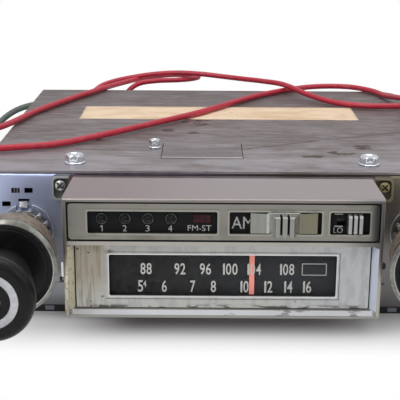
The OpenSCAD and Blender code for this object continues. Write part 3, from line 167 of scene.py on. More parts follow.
class Shader:
    """The node tree of one material or world."""

    def __init__(self, owner: bpy.types.Material | bpy.types.World, place: str = "Object") -> None:
        """Empties the owner's node tree and starts with its coordinates of the given kind."""
        self.owner = owner
        owner.use_nodes = True
        self.tree = owner.node_tree
        self.tree.nodes.clear()
        self.place = self.node("ShaderNodeTexCoord", out=place)

    def node(self, kind: str, settings: dict | None = None, sockets: dict | None = None, out: int | str = 0) -> Wire:
        """Adds a node.

        Args:
            kind: The node's type.
            settings: Its own settings, set first; "stops" are a ramp's (position, colour) pairs.
            sockets: Values or wires of its inputs, by index or name.
            out: The output that is returned.

        Returns:
            The wire of that output.
        """
        made = self.tree.nodes.new(kind)
        for key, value in (settings or {}).items():
            if key == "stops":
                ramp = made.color_ramp.elements
                for index, (position, colour) in enumerate(value):
                    stop = ramp[index] if index < len(ramp) else ramp.new(position)
                    stop.position, stop.color = position, (*colour, 1.0)
            else:
                setattr(made, key, value)
        for key, value in (sockets or {}).items():
            if isinstance(value, Wire):
                self.tree.links.new(value.socket, made.inputs[key])
            elif made.inputs[key].type == "RGBA":
                made.inputs[key].default_value = (*value, 1.0)
            else:
                made.inputs[key].default_value = value
        return Wire(self, made.outputs[out])

    def stretched(self, stretch: Point, shift: float = 0.0) -> Wire:
        """Object coordinates scaled by axis and moved by the same shift on each."""
        sockets = {0: self.place, 1: stretch, 2: (shift, shift * 0.7, shift * 1.3)}
        return self.node("ShaderNodeVectorMath", {"operation": "MULTIPLY_ADD"}, sockets)

    def noise(self, size: float, detail: float = 3.0, stretch: Point = (1, 1, 1), shift: float = 0.0) -> Wire:
        """Noise whose features are about size metres across.

        Args:
            size: Size of a feature in metres.
            detail: Number of finer layers.
            stretch: Scale by axis; a small number draws the noise out along that axis.
            shift: Offset that gives another part of the pattern.

        Returns:
            Values from 0 to 1, mostly near 0.5.
        """
        sockets = {"Vector": self.stretched(stretch, shift), "Scale": 1 / size, "Detail": detail}
        return self.node("ShaderNodeTexNoise", {"noise_dimensions": "3D"}, sockets)

    def specks(self, size: float, share: float, shift: float = 0.0) -> Wire:
        """Scattered round specks.

        Args:
            size: Distance between the specks' centres in metres.
            share: Radius of the largest speck as a share of that distance.
            shift: Offset that gives another part of the pattern.

        Returns:
            1 inside a speck and 0 outside.
        """
        where = self.stretched((1, 1, 1), shift)
        cell = self.node("ShaderNodeTexVoronoi", {"feature": "F1"}, {"Vector": where, "Scale": 1 / size})
        patch = self.noise(size * 5, 2.0, shift=shift + 3.0)
        return (patch.above(0.5, 0.62) * share - cell).above(0.0, share * 0.35)

    def axes(self, unit: float = MM) -> tuple[Wire, Wire, Wire]:
        """The three coordinates in a unit, which is the millimetre unless another is given."""
        scaled = self.node("ShaderNodeVectorMath", {"operation": "SCALE"}, {0: self.place, "Scale": 1 / unit})
        parts = [self.node("ShaderNodeSeparateXYZ", None, {0: scaled}, out) for out in "XYZ"]
        return parts[0], parts[1], parts[2]

    def ramp(self, value: Wire, stops: Sequence[tuple[float, Colour]]) -> Wire:
        """Colour that runs through stops as a value grows.

        Args:
            value: The value.
            stops: Pairs of a value and the colour there, in rising order.

        Returns:
            The colour.
        """
        low, high = stops[0][0], stops[-1][0]
        spread = [((at - low) / (high - low), colour) for at, colour in stops]
        return self.node("ShaderNodeValToRGB", {"stops": spread}, {0: (value - low) * (1 / (high - low))})

    def diagonal(self, first: Wire, second: Wire) -> Wire:
        """Length of the diagonal over two sides."""
        return self.node("ShaderNodeMath", {"operation": "SQRT"}, {0: first * first + second * second})

    def mix(self, mask: Wire | float, first: Wire | Colour, second: Wire | Colour) -> Wire:
        """Colour that is first where mask is 0 and second where it is 1."""
        return self.node("ShaderNodeMix", {"data_type": "RGBA"}, {0: mask, 6: first, 7: second}, 2)

    def bump(self, height: Wire, depth: float) -> Wire:
        """Normal of a relief.

        Args:
            height: Height from 0 to 1.
            depth: Depth in metres that 1 stands for.

        Returns:
            The bent normal.
        """
        return self.node("ShaderNodeBump", None, {"Height": height, "Distance": depth, "Strength": 1.0})

    def rays(self) -> list[Wire]:
        """Whether a ray comes from the camera, from a glossy face or through a clear one."""
        kinds = ("Is Camera Ray", "Is Glossy Ray", "Is Transmission Ray")
        return [self.node("ShaderNodeLightPath", out=kind) for kind in kinds]

    def surface(
        self, varying: dict[str, Wire | Colour | float], fixed: dict[str, float] | None = None
    ) -> bpy.types.Material:
        """Ends the tree in one principled surface.

        Args:
            varying: Values or wires of the inputs that may change over the surface.
            fixed: Constants of the shader's other inputs.

        Returns:
            The finished material.
        """
        shade = self.node("ShaderNodeBsdfPrincipled", None, {**varying, **(fixed or {})})
        self.output("ShaderNodeOutputMaterial", shade)
        return self.owner

    def output(self, kind: str, shade: Wire) -> None:
        """Links a shade to an output node of the given kind."""
        made = self.tree.nodes.new(kind)
        self.tree.links.new(shade.socket, made.inputs["Surface"])


# ---------------------------------------------------------------- finishes


@dataclass(frozen=True)
class Finish:
    """A surface finish that paints its own material once."""

    name: str
    slot: str

    def paint(self, shader: Shader) -> bpy.types.Material:
        """Builds the node tree."""
        raise NotImplementedError

    def material(self) -> bpy.types.Material:
        """The finish's material, made at its first use."""
        return bpy.data.materials.get(self.name) or self.paint(Shader(bpy.data.materials.new(self.name)))


@dataclass(frozen=True)
class Skin:
    """Colour, roughness and metal share of a surface while it is being painted."""

    colour: Wire
    rough: Wire
    metal: Wire | float

    def over(
        self, mask: Wire | float, colour: Colour | Wire, rough: float | None = None, metal: float | None = None
    ) -> Skin:
        """Paints another finish where a mask is 1.

        Args:
            mask: Share of the new finish, from 0 to 1.
            colour: Its colour.
            rough: Its roughness, or nothing to keep what is there.
            metal: Its metal share, or nothing to keep what is there.

        Returns:
            The changed skin.
        """

        def toward(value: Wire | float, target: float | None) -> Wire | float:
            """The value, moved to the target where the mask is 1."""
            return value if target is None else value + (target - value) * mask

        blend = self.colour.shader.mix(mask, self.colour, colour)
        return Skin(blend, toward(self.rough, rough), toward(self.metal, metal))


@dataclass(frozen=True)
class AgedMetal(Finish):
    """Bare or plated metal with grain, stains, specks and fine scratches."""

    colour: Colour
    stain: Colour = srgb(92, 80, 68)
    roughness: float = 0.35
    metallic: float = 1.0
    grain: Axis = Axis.X
    contrast: float = 0.08
    grain_share: float = 0.08
    stain_size: float = 0.016
    stain_share: float = 0.25
    speck_share: float = 0.12
    relief: float = 0.008 * MM

    def local(self, shader: Shader, skin: Skin) -> Skin:
        """Changes that belong to one place of the object; none here."""
        return skin

    def paint(self, shader: Shader) -> bpy.types.Material:
        """Builds the node tree."""
        streaks = shader.noise(1.2 * MM, 5.0, self.grain.value)
        fine = shader.noise(0.35 * MM, 2.0, self.grain.value, 4.0)
        cloud = shader.noise(self.stain_size, 6.0, shift=1.7)
        stain = cloud.above(0.66 - self.stain_share * 0.5, 0.80 - self.stain_share * 0.3)
        specks = shader.specks(4.5 * MM, self.speck_share)
        lighter = tuple(min(1.0, part * (1 + self.contrast)) for part in self.colour)
        darker = tuple(part * (1 - self.contrast) for part in self.colour)
        plain = Skin(
            shader.mix(streaks.above(0.3, 0.7), darker, lighter),
            self.roughness + (streaks - 0.5) * self.grain_share,
            self.metallic,
        )
        stained = plain.over(stain * 0.75, self.stain, min(1.0, self.roughness + 0.15), self.metallic * 0.6)
        placed = self.local(shader, stained)
        skin = placed.over(specks * 0.7, tuple(part * 0.4 for part in self.stain), min(1.0, self.roughness + 0.25))
        varying = {
            "Base Color": skin.colour,
            "Roughness": skin.rough,
            "Metallic": skin.metal,
            "Normal": shader.bump(streaks * 0.5 + fine * 0.5 - specks, self.relief),
        }
        return shader.surface(varying)


@dataclass(frozen=True)
class LidMetal(AgedMetal):
    """The cover's plated steel, browned towards the rear, with oil stains and rubbed front corners."""

    # X, Y and reach along both, of each oil stain
    blots: tuple = ((47.8, -51.8, 9, 6), (57.7, -42, 6, 6), (-22.9, -12.3, 7, 5), (-12, -17, 7, 5), (52, 12, 9, 4),
                    (36, -58, 8, 4), (-10, 4, 10, 12))

    def local(self, shader: Shader, skin: Skin) -> Skin:
        """Adds the brown stains, the paler front strip, the dark crease lines, the tongue's walls and a painted
        highlight on the tongue's front edge.
        """
        x, y, z = shader.axes()
        smear = shader.noise(3.2 * MM, 6.0, (0.3, 1.0, 1.0), 8.0)
        cloud = shader.noise(11 * MM, 6.0, (0.45, 1.0, 1.0), 2.0)
        streaks = shader.noise(1.6 * MM, 6.0, (0.14, 1.0, 1.0), 5.0)
        rear = y.above(-60, -22)
        skin = skin.over(rear * 0.6, srgb(112, 102, 102))
        skin = skin.over(y.above(5, 45) * 0.4, srgb(84, 78, 79))
        skin = skin.over(y.near(-64, 16) * 0.35, srgb(170, 168, 172))
        skin = skin.over(cloud.above(0.46, 0.62) * 0.45, srgb(104, 92, 88))
        skin = skin.over(streaks.above(0.5, 0.62) * 0.3, srgb(96, 87, 85))
        skin = skin.over((1 - streaks.above(0.36, 0.46)) * 0.3, srgb(176, 170, 176))
        skin = skin.over(rear * smear.above(0.5, 0.6) * 0.55, srgb(92, 80, 73))
        ragged = shader.noise(4.5 * MM, 6.0, (0.7, 1.0, 1.0), 12.0)
        pools = [x.near(spot[0], spot[2]) * y.near(spot[1], spot[3]) for spot in self.blots]
        oily = (sum(pools) * (ragged.above(0.38, 0.66) + 0.12)).above(0.12, 0.34)
        skin = skin.over(oily * 0.85, srgb(62, 48, 38), 0.55)
        paler = (1 - y.above(-77, -64)) * (1 - x.above(-75, -35))
        skin = skin.over(paler * 0.5, srgb(174, 170, 180))
        # dark lines along the lid's two creases
        right = abs(y + 50.7 - x * 0.483).above(0.3, 0.95)
        left = abs(y + 49 + (x + 42) * 0.06).above(0.3, 0.9)
        skin = skin.over((1 - right) * x.above(9, 12) * 0.8, srgb(60, 52, 50))
        skin = skin.over((1 - left) * x.between(-58, -27, 2) * 0.7, srgb(66, 58, 56))
        tongue = x.between(-23.6, 8.5, 0.05)
        skin = skin.over(tongue * z.above(LID_Z + 0.15, LID_Z + 0.35) * y.above(-61.6, -61.2) * 0.5, srgb(98, 90, 90))
        # painted highlight: a light line along the tongue's front edge
        tip = tongue * z.above(LID_Z + 0.02, LID_Z + 0.1) * (1 - y.above(-61.95, -61.8))
        skin = skin.over(tip, srgb(222, 220, 220), 0.4)
        return skin.over(tongue * y.between(-62, -20) * (1 - z.above(LID_Z - 0.7, LID_Z - 0.3)), srgb(74, 54, 44), 0.6)


@dataclass(frozen=True)
class PanMetal(AgedMetal):
    """The base pan's sheet, black along its front edge."""

    def local(self, shader: Shader, skin: Skin) -> Skin:
        """Blackens the front edge but for a small lighter tab at each side."""
        x, y, z = shader.axes()
        edge = 1 - y.above(FRONT_Y + 1.0, FRONT_Y + 1.4)
        skin = skin.over(edge, srgb(36, 37, 39), 0.5, 0.3)
        return skin.over(edge * abs(x).between(64.0, 67.3) * z.between(0.7, 2.3), srgb(128, 134, 142))


@dataclass(frozen=True)
class FrontPlateMetal(AgedMetal):
    """The front plate's zinc: cool and light at the left, brown and dull at the right, with painted shadow of the knob
    rings at mid height.
    """

    def local(self, shader: Shader, skin: Skin) -> Skin:
        """Paints both sides' tarnish with the rings' painted shadow and reflection, painted highlights on the tabs and
        edges, the dark red-brown in the slots and the rust beside the foot.
        """
        x, y, z = shader.axes()
        # tones by height: tarnish on each side, and on the left a darker band at mid height that is painted shadow and
        # reflection of the ring and nosepiece
        left = shader.ramp(z, [(2, srgb(98, 98, 96)), (8, srgb(140, 142, 143)), (14, srgb(146, 149, 154)),
                               (17, srgb(96, 97, 96)), (25, srgb(94, 97, 98)), (31, srgb(112, 118, 126)),
                               (36, srgb(152, 162, 182)), (46, srgb(198, 209, 244)), (55, srgb(200, 211, 250))])
        right = shader.ramp(z, [(4, srgb(92, 89, 78)), (16, srgb(108, 103, 92)), (28, srgb(120, 115, 103)),
                                (40, srgb(104, 97, 80)), (55, srgb(142, 132, 100))])
        skin = skin.over(0.85, shader.mix(x.above(-20, 20), left, right))
        across = abs(x)
        # painted highlights: the raised tab, the lip round each shaft hole and the bead above each foot are painted
        # lighter than the plate
        tab = across.between(72.2, 75.2) * z.between(41.6, 44.6) * (1 - y.above(FRONT_Y - 0.7, FRONT_Y - 0.3))
        skin = skin.over(tab * 0.9, srgb(236, 240, 250), 0.3)
        rim = from_shaft(shader, across, z).between(9.95, 10.3, 0.05) * (1 - y.above(FRONT_Y - 0.2, FRONT_Y - 0.1))
        skin = skin.over(rim * 0.8, srgb(226, 228, 230), 0.25)
        skin = skin.over(foot_bead(across, y, z), srgb(238, 238, 232), 0.3)
        # dark red-brown on the plate's back and the slots' walls
        inside = y.above(FRONT_Y + 0.4, FRONT_Y + 0.7)
        skin = skin.over(inside, srgb(72, 34, 26), 0.6, 0.2)
        rust = shader.noise(1.0 * MM, 4.0, shift=7.0)
        spots = (x.near(-60.6, 1.2) * z.near(13.6, 1.4) + x.near(61.3, 1.3) * z.near(19.5, 2.2)) * rust.above(0.3, 0.5)
        return skin.over(spots.above(0.15, 0.35), srgb(38, 26, 20), 0.6, 0.2)


def from_shaft(shader: Shader, across: Wire, z: Wire) -> Wire:
    """Distance from the nearer control shaft's axis."""
    return shader.diagonal(across - SHAFT_X, z - SHAFT_Z)


def foot_bead(across: Wire, y: Wire, z: Wire) -> Wire:
    """Mask of the raised bead above each foot of the nosepiece."""
    return across.between(59.7, 60.7) * z.between(13.2, 20.6) * y.between(FRONT_Y - 0.8, FRONT_Y - 0.1)


@dataclass(frozen=True)
class NoseMetal(AgedMetal):
    """The nosepiece's plating: mirror-like on top, greyed on its front rim, with painted reflections on the bevels
    round the door.
    """

    def local(self, shader: Shader, skin: Skin) -> Skin:
        """Paints the rims, with painted shade on the top edge and painted reflection on the left rim, painted
        reflections on the bevels and the sill, the ears, and the groove and gap dark as painted shade.
        """
        x, y, z = shader.axes()
        across = abs(x)
        dirt = shader.noise(1.6 * MM, 5.0, (1, 1, 1), 6.0)
        is_right = x.above(-1, 1)
        skin = skin.over((1 - x.above(-50, 10)) * 0.8, srgb(160, 143, 146))
        # painted shade: the top's front margin is darkened where the edge catches light
        skin = skin.over(z.above(53.4, 53.9) * (1 - y.above(NOSE_Y + 1.3, NOSE_Y + 3.1)) * 0.6, srgb(120, 106, 106))
        face = 1 - y.above(NOSE_Y + 0.6, NOSE_Y + 1.1)
        skin = skin.over(face, srgb(176, 172, 164), 0.34, 0.7)
        # painted shade: the front face's upper strip is darkened where the top edge catches light
        skin = skin.over(face * z.above(51.9, 52.2) * 0.85, srgb(134, 127, 124))
        # painted reflection and shade along the left rim: lighter at mid height, darker above
        left_rim = shader.ramp(z, [(10, srgb(166, 162, 146)), (12, srgb(196, 192, 174)), (19, srgb(202, 198, 180)),
                                   (25, srgb(230, 226, 208)), (30, srgb(180, 176, 160)), (34, srgb(122, 119, 114)),
                                   (54, srgb(130, 127, 122))])
        skin = skin.over(face * (1 - x.above(-54.6, -54.2)) * 0.9, left_rim)
        upper_right = face * x.above(38, 55) * z.above(22, 34)
        skin = skin.over(upper_right * 0.85, srgb(104, 102, 104))
        lower = face * (1 - z.above(9.9, 10.4)) * dirt.above(0.5, 0.62)
        skin = skin.over(lower * 0.8, srgb(120, 118, 96))
        # painted reflections on the bevels round the door: bluish white on the right, yellowish on the left
        bevels = across.between(52.6, 54.5) * z.between(11.9, 35.4)
        skin = skin.over(bevels * is_right, srgb(213, 220, 235), 0.3, 0.15)
        skin = skin.over(bevels * (1 - is_right), srgb(214, 209, 182), 0.5, 0.15)
        # painted reflection on the sill below the door, with a darker strip next to the door as painted shade
        sill = (1 - across.above(53, 54.2)) * z.between(10.1, 11.65) * y.between(NOSE_Y + 0.1, NOSE_Y + 3.6)
        skin = skin.over(sill, srgb(232, 233, 238), 0.3, 0.1)
        skin = skin.over(sill * y.above(DOOR_Y - 0.45, DOOR_Y - 0.25), srgb(140, 139, 133), 0.4)
        skin = skin.over(face * (1 - z.above(10.0, 10.3)), srgb(160, 160, 154), 0.4, 0.5)
        patch = shader.noise(4 * MM, 3.0, (0.5, 1, 1), 9.0).above(0.56, 0.66) * x.above(-10, 10)
        skin = skin.over(sill * patch * 0.8, srgb(128, 126, 124))
        grime = (1 - x.above(-54.6, -52.5)) * (1 - z.above(24, 33)) * face
        skin = skin.over(grime * dirt.above(0.46, 0.6) * 0.5, srgb(128, 120, 92), 0.6)
        skin = skin.over(bevels * (1 - is_right) * dirt.above(0.57, 0.66) * 0.45, srgb(120, 113, 84), 0.6)
        ear = across.above(56.2, 56.6) * y.above(-86, -85.8)
        skin = skin.over(ear, shader.mix(is_right, srgb(190, 195, 200), srgb(150, 145, 120)), 0.36, 0.5)
        hollow = ear * y.above(-84.0, -83.7)
        skin = skin.over(hollow, shader.mix(is_right, srgb(110, 112, 108), srgb(100, 95, 80)), 0.5, 0.5)
        pad = across.between(55.3, 62.0) * z.between(6.2, 12.0) * y.above(FRONT_Y - 0.9, FRONT_Y - 0.75)
        skin = skin.over(pad * 0.5, srgb(150, 147, 136), 0.4, 0.5)
        # painted shade: the groove round the panel and the walls of the door's gap are painted near black
        groove = (1 - across.above(54.56, 54.62)) * z.between(37.8, 52.1, 0.06)
        gap = (1 - across.above(52.5, 52.58)) * z.between(11.72, 37.0, 0.06) * y.above(DOOR_Y + 0.5, DOOR_Y + 0.7)
        return skin.over(groove + gap, srgb(8, 8, 9), 0.8, 0.0)


@dataclass(frozen=True)
class PanelMetal(AgedMetal):
    """The control panel's dull plating with rims round its windows painted lighter as a highlight."""

    def local(self, shader: Shader, skin: Skin) -> Skin:
        """Lightens the rims as painted highlight, darkens the right end, and blackens the outer edges and the window
        walls as painted shade.
        """
        x, y, z = shader.axes()
        # painted highlight on the raised rims round the windows
        rim = 1 - y.above(PANEL_Y - 0.2, PANEL_Y - 0.06)
        skin = skin.over(rim * 0.7, srgb(160, 160, 151), 0.28, 0.7)
        worn = shader.noise(2.4 * MM, 5.0, (0.4, 1, 1), 3.0).above(0.55, 0.7)
        skin = skin.over(worn * 0.3, srgb(104, 100, 86), 0.5)
        skin = skin.over(x.above(50.2, 53.6), srgb(64, 64, 64))
        # painted shade: the outer edges in the groove and the walls behind the face are painted near black
        edge = abs(x).above(53.9, 53.98) + (1 - z.above(38.36, 38.44)) + z.above(51.46, 51.54)
        inside = y.above(PANEL_Y + 0.1, PANEL_Y + 0.4)
        return skin.over((edge + inside).above(0.0, 0.6), srgb(8, 8, 9), 0.8, 0.0)


@dataclass(frozen=True)
class DoorMetal(AgedMetal):
    """The tape door's aluminium: scratched and yellow at the left, cleaner at the right, with a painted highlight round
    the dial.
    """

    def local(self, shader: Shader, skin: Skin) -> Skin:
        """Adds the left side's scratches, black dirt along the lower edge, the dial's rim lightened as painted
        highlight, painted shadow beside the rim's right and lower sides and painted shade on the door's edges.
        """
        x, y, z = shader.axes()
        across = abs(x)
        dirt = shader.noise(2.6 * MM, 6.0, (1, 1, 0.35), 2.0)
        scratches = shader.noise(0.8 * MM, 5.0, (1, 1, 0.07), 3.0)
        left = 1 - x.above(-44, -40)
        skin = skin.over(left * z.above(12, 26) * 0.75, srgb(161, 151, 131), 0.45)
        skin = skin.over(left * scratches.above(0.46, 0.6) * 0.5, srgb(132, 122, 102), 0.5)
        skin = skin.over(left * dirt.above(0.5, 0.7) * 0.35, srgb(126, 115, 94), 0.5)
        skin = skin.over(x.above(10, 48) * 0.7, srgb(190, 193, 198))
        skin = skin.over((1 - left) * dirt.above(0.46, 0.6) * 0.4, srgb(156, 157, 158))
        # painted highlight: the proud rim round the dial is painted near white
        proud = 1 - y.above(DOOR_Y - 0.25, DOOR_Y - 0.12)
        rim = proud * (1 - across.above(40.55, 40.65)) * z.between(16.2, 32.3, 0.08)
        skin = skin.over(rim, srgb(226, 228, 230), 0.24, 0.5)
        # painted shadow: dark lines beside the dial frame's right and lower sides
        upright = x.between(41.25, 41.55, 0.08) * z.between(15.4, 32.9)
        level = z.between(15.15, 15.5, 0.08) * (1 - across.above(41.5, 41.6))
        skin = skin.over((upright + level) * 0.7, srgb(78, 76, 72))
        patches = shader.noise(1.7 * MM, 5.0, (0.3, 1, 1), 5.0)
        low = (1 - z.above(12.3, 13.6)) * patches.above(0.5, 0.57)
        skin = skin.over(low * 0.8, srgb(46, 42, 36), 0.6)
        nick = shader.specks(2.6 * MM, 0.2, 5.0)
        skin = skin.over(nick * (0.35 + left * 0.4), srgb(50, 44, 38), 0.6)
        smudge = x.near(-40.5, 3.0) * z.near(33.2, 1.4) * dirt.above(0.35, 0.55)
        skin = skin.over(smudge * 0.8, srgb(96, 90, 84))
        # painted shade: the door's edges inside the gap round it are painted near black
        edge = y.above(DOOR_Y + 0.2, DOOR_Y + 0.4)
        return skin.over(edge, srgb(10, 10, 10), 0.8, 0.0)


@dataclass(frozen=True)
class ScrewMetal(AgedMetal):
    """The nosepiece's two fixing screws: greyish at the left, yellow and dull at the right, dark in their crosses."""

    def local(self, shader: Shader, skin: Skin) -> Skin:
        """Colours the right screw and darkens the recessed cross."""
        x, y, _ = shader.axes()
        skin = skin.over(x.above(-1, 1), srgb(150, 140, 100), 0.4, 0.8)
        return skin.over(y.above(-84.1, -83.7) * 0.9, srgb(24, 22, 18), 0.7, 0.2)


@dataclass(frozen=True)
class SliderMetal(AgedMetal):
    """The sliding buttons' plating: dull faces, an edge painted bright as a highlight, grooves painted black as shade,
    and an olive right tab.
    """

    def local(self, shader: Shader, skin: Skin) -> Skin:
        """Colours the band slider's tabs and ridge with a painted highlight on one edge, and paints shade into the gaps
        between both sliders' ribs.
        """
        x, y, z = shader.axes()
        tab = (1 - x.above(35, 36)) * y.above(-109.0, -108.7)
        skin = skin.over(tab, srgb(107, 106, 96), 0.4, 0.5)
        # painted highlight on the left tab's right edge
        skin = skin.over(x.between(15.0, 15.6, 0.06) * tab * 0.8, srgb(214, 214, 206), 0.3)
        right = x.above(26.3, 26.9) * (1 - x.above(35, 36))
        skin = skin.over(right, srgb(132, 127, 107), 0.45, 0.5)
        ridge = x.between(17.5, 24.5) * (1 - y.above(-112.9, -112.4))
        skin = skin.over(ridge, srgb(147, 147, 142), 0.3, 0.7)
        skin = skin.over(x.above(40, 41), srgb(170, 171, 169), 0.3, 0.8)
        # painted shade: the gaps between the ribs and the base behind the distance slider's ribs are painted near black
        deep = y.above(-113.2, -113.0) * (1 - y.above(-109.9, -109.7))
        groove = abs(abs(x - 21) - 1.25).between(-1.0, 0.33, 0.05) * deep
        bottom = x.above(40, 41) * y.above(-108.2, -107.8)
        return skin.over((groove + bottom).above(0.0, 0.5), srgb(8, 8, 8), 0.7, 0.0)


@dataclass(frozen=True)
class RingMetal(AgedMetal):
    """The rear rings' plating: a grey worn rim with a painted highlight along its crest, a black inner bevel and a
    dirty drum.
    """

    def local(self, shader: Shader, skin: Skin) -> Skin:
        """Paints the parts by their distance from the shaft and from the face."""
        x, y, z = shader.axes()
        far = from_shaft(shader, abs(x), z)
        smear = shader.noise(2.5 * MM, 4.0, shift=2.0)
        skin = skin.over(smear.above(0.4, 0.65) * 0.5, srgb(88, 86, 80))
        # painted highlight: a light line along the rim's front crest
        skin = skin.over((1 - y.above(RING_Y + 0.02, RING_Y + 0.08)) * 0.5, srgb(214, 215, 212), 0.2)
        drum = y.above(RING_Y + 2.7, RING_Y + 3.1)
        skin = skin.over(drum, srgb(150, 136, 122), 0.5, 0.5)
        skin = skin.over(drum * smear.above(0.45, 0.6) * 0.6, srgb(104, 90, 76), 0.6)
        return skin.over((1 - far.above(15.5, 15.66)) * (1 - drum), srgb(26, 26, 29), 0.35, 0.0)


@dataclass(frozen=True)
class NutMetal(AgedMetal):
    """The toothed nuts: bright teeth with brown grime in the gaps between them."""

    def local(self, shader: Shader, skin: Skin) -> Skin:
        """Lays grime on everything nearer to the shaft than the teeth's tips."""
        x, _, z = shader.axes()
        far = from_shaft(shader, abs(x), z)
        grime = shader.noise(1.3 * MM, 4.0, shift=4.0).above(0.35, 0.6)
        return skin.over((1 - far.above(8.2, 8.7)) * (0.35 + grime * 0.65), srgb(88, 72, 54), 0.6, 0.3)


@dataclass(frozen=True)
class Plastic(Finish):
    """Moulded plastic or rubber with dust, fine relief and a soft gloss."""

    colour: Colour
    roughness: float = 0.4
    dust: Colour = srgb(110, 106, 100)
    dust_share: float = 0.1
    relief: float = 0.015 * MM
    specular: float = 0.5

    def paint(self, shader: Shader) -> bpy.types.Material:
        """Builds the node tree."""
        cloud = shader.noise(5 * MM, 5.0)
        fine = shader.noise(0.4 * MM, 3.0, shift=2.0)
        dust = cloud.above(0.5, 0.8) * self.dust_share
        lighter = tuple(min(1.0, part * 1.2 + 0.004) for part in self.colour)
        base = shader.mix(fine.above(0.4, 0.6), self.colour, lighter)
        varying = {
            "Base Color": shader.mix(dust, base, self.dust),
            "Roughness": self.roughness + (fine - 0.5) * 0.12 + dust * 0.4,
            "Normal": shader.bump(fine + cloud * 0.4, self.relief),
        }
        return shader.surface(varying, {"Specular IOR Level": self.specular})


@dataclass(frozen=True)
class LeadPlastic(Plastic):
    """Flexible insulation, scuffed and rubbed paler along its length."""

    def paint(self, shader: Shader) -> bpy.types.Material:
        """Builds the node tree."""
        scuff = shader.noise(3 * MM, 4.0)
        worn = scuff.above(0.46, 0.8) * 0.3
        grime = shader.noise(11 * MM, 4.0, shift=5.0).above(0.55, 0.75) * 0.3
        paler = tuple(part * 0.7 + 0.14 for part in self.colour)
        base = shader.mix(worn, self.colour, paler)
        varying = {
            "Base Color": shader.mix(grime, base, tuple(part * 0.45 for part in self.colour)),
            "Roughness": self.roughness + scuff * 0.15,
            "Normal": shader.bump(scuff, 0.03 * MM),
        }
        return shader.surface(varying, {"Specular IOR Level": self.specular})


@dataclass(frozen=True)
class Paper(Finish):
    """An aged paper strip, blotched and spotted, with fibres."""

    colour: Colour

    def paint(self, shader: Shader) -> bpy.types.Material:
        """Builds the node tree."""
        blotch = shader.noise(9 * MM, 5.0, (0.6, 1, 1))
        fibre = shader.noise(0.5 * MM, 4.0, (0.3, 1, 1), 3.0)
        base = shader.mix(blotch.above(0.35, 0.7) * 0.6, self.colour, srgb(205, 166, 128))
        base = shader.mix(fibre.above(0.5, 0.7) * 0.25, base, srgb(240, 220, 190))
        spots = shader.specks(6 * MM, 0.14)
        varying = {
            "Base Color": shader.mix(spots * 0.5, base, srgb(150, 110, 80)),
            "Roughness": 0.72 + fibre * 0.15,
            "Normal": shader.bump(fibre, 0.03 * MM),
        }
        return shader.surface(varying)


@dataclass(frozen=True)
class DialPaint(Finish):
    """Matt dark print of the dial and the legend plate, faintly mottled, which may change towards the right."""

    colour: Colour
    right: Colour | None = None

    def paint(self, shader: Shader) -> bpy.types.Material:
        """Builds the node tree."""
        mottle = shader.noise(2 * MM, 4.0)
        base = shader.mix(shader.axes()[0].above(-30, 30), self.colour, self.right or self.colour)
        lighter = tuple(part * 1.35 for part in self.right or self.colour)
        varying = {
            "Base Color": shader.mix(mottle.above(0.35, 0.7) * 0.5, base, lighter),
            "Roughness": 0.55 + mottle * 0.2,
            "Normal": shader.bump(mottle, 0.01 * MM),
        }
        return shader.surface(varying, {"Specular IOR Level": 0.2})


@dataclass(frozen=True)
class FigurePaint(Finish):
    """Printed figures, slightly worn, which may carry a painted glow."""

    colour: Colour
    glow: float = 0.0

    def paint(self, shader: Shader) -> bpy.types.Material:
        """Builds the node tree."""
        wear = shader.noise(0.6 * MM, 3.0)
        duller = tuple(part * 0.72 for part in self.colour)
        worn = shader.mix(wear.above(0.5, 0.75), self.colour, duller)
        # the emission is a painted glow: the print lights itself though no lamp is behind it
        varying = {"Base Color": worn, "Roughness": 0.6 + wear * 0.1, "Emission Color": worn}
        return shader.surface(varying, {"Emission Strength": self.glow})


@dataclass(frozen=True)
class ClearPane(Finish):
    """The dial's glass: mostly clear, with a thin film of dust."""

    def paint(self, shader: Shader) -> bpy.types.Material:
        """Builds the node tree."""
        film = shader.noise(12 * MM, 4.0)
        varying = {
            "Base Color": shader.mix(film, srgb(60, 60, 58), srgb(110, 108, 102)),
            "Roughness": 0.06 + film * 0.08,
            "Alpha": 0.03 + film * 0.05,
        }
        return shader.surface(varying)


@dataclass(frozen=True)
class Lens(Finish):
    """A moulded lamp lens, glossy and deep in colour."""

    colour: Colour
    sheen: float = 0.12
    coat: float = 0.6
    specular: float = 0.5

    def paint(self, shader: Shader) -> bpy.types.Material:
        """Builds the node tree."""
        depth = shader.noise(1.4 * MM, 2.0)
        brighter = tuple(min(1.0, part * 2.0 + 0.002) for part in self.colour)
        varying = {
            "Base Color": shader.mix(depth.above(0.4, 0.7), self.colour, brighter),
            "Roughness": self.sheen + depth * 0.1,
        }
        fixed = {"Coat Weight": self.coat, "Coat Roughness": 0.08, "Specular IOR Level": self.specular}
        return shader.surface(varying, fixed)


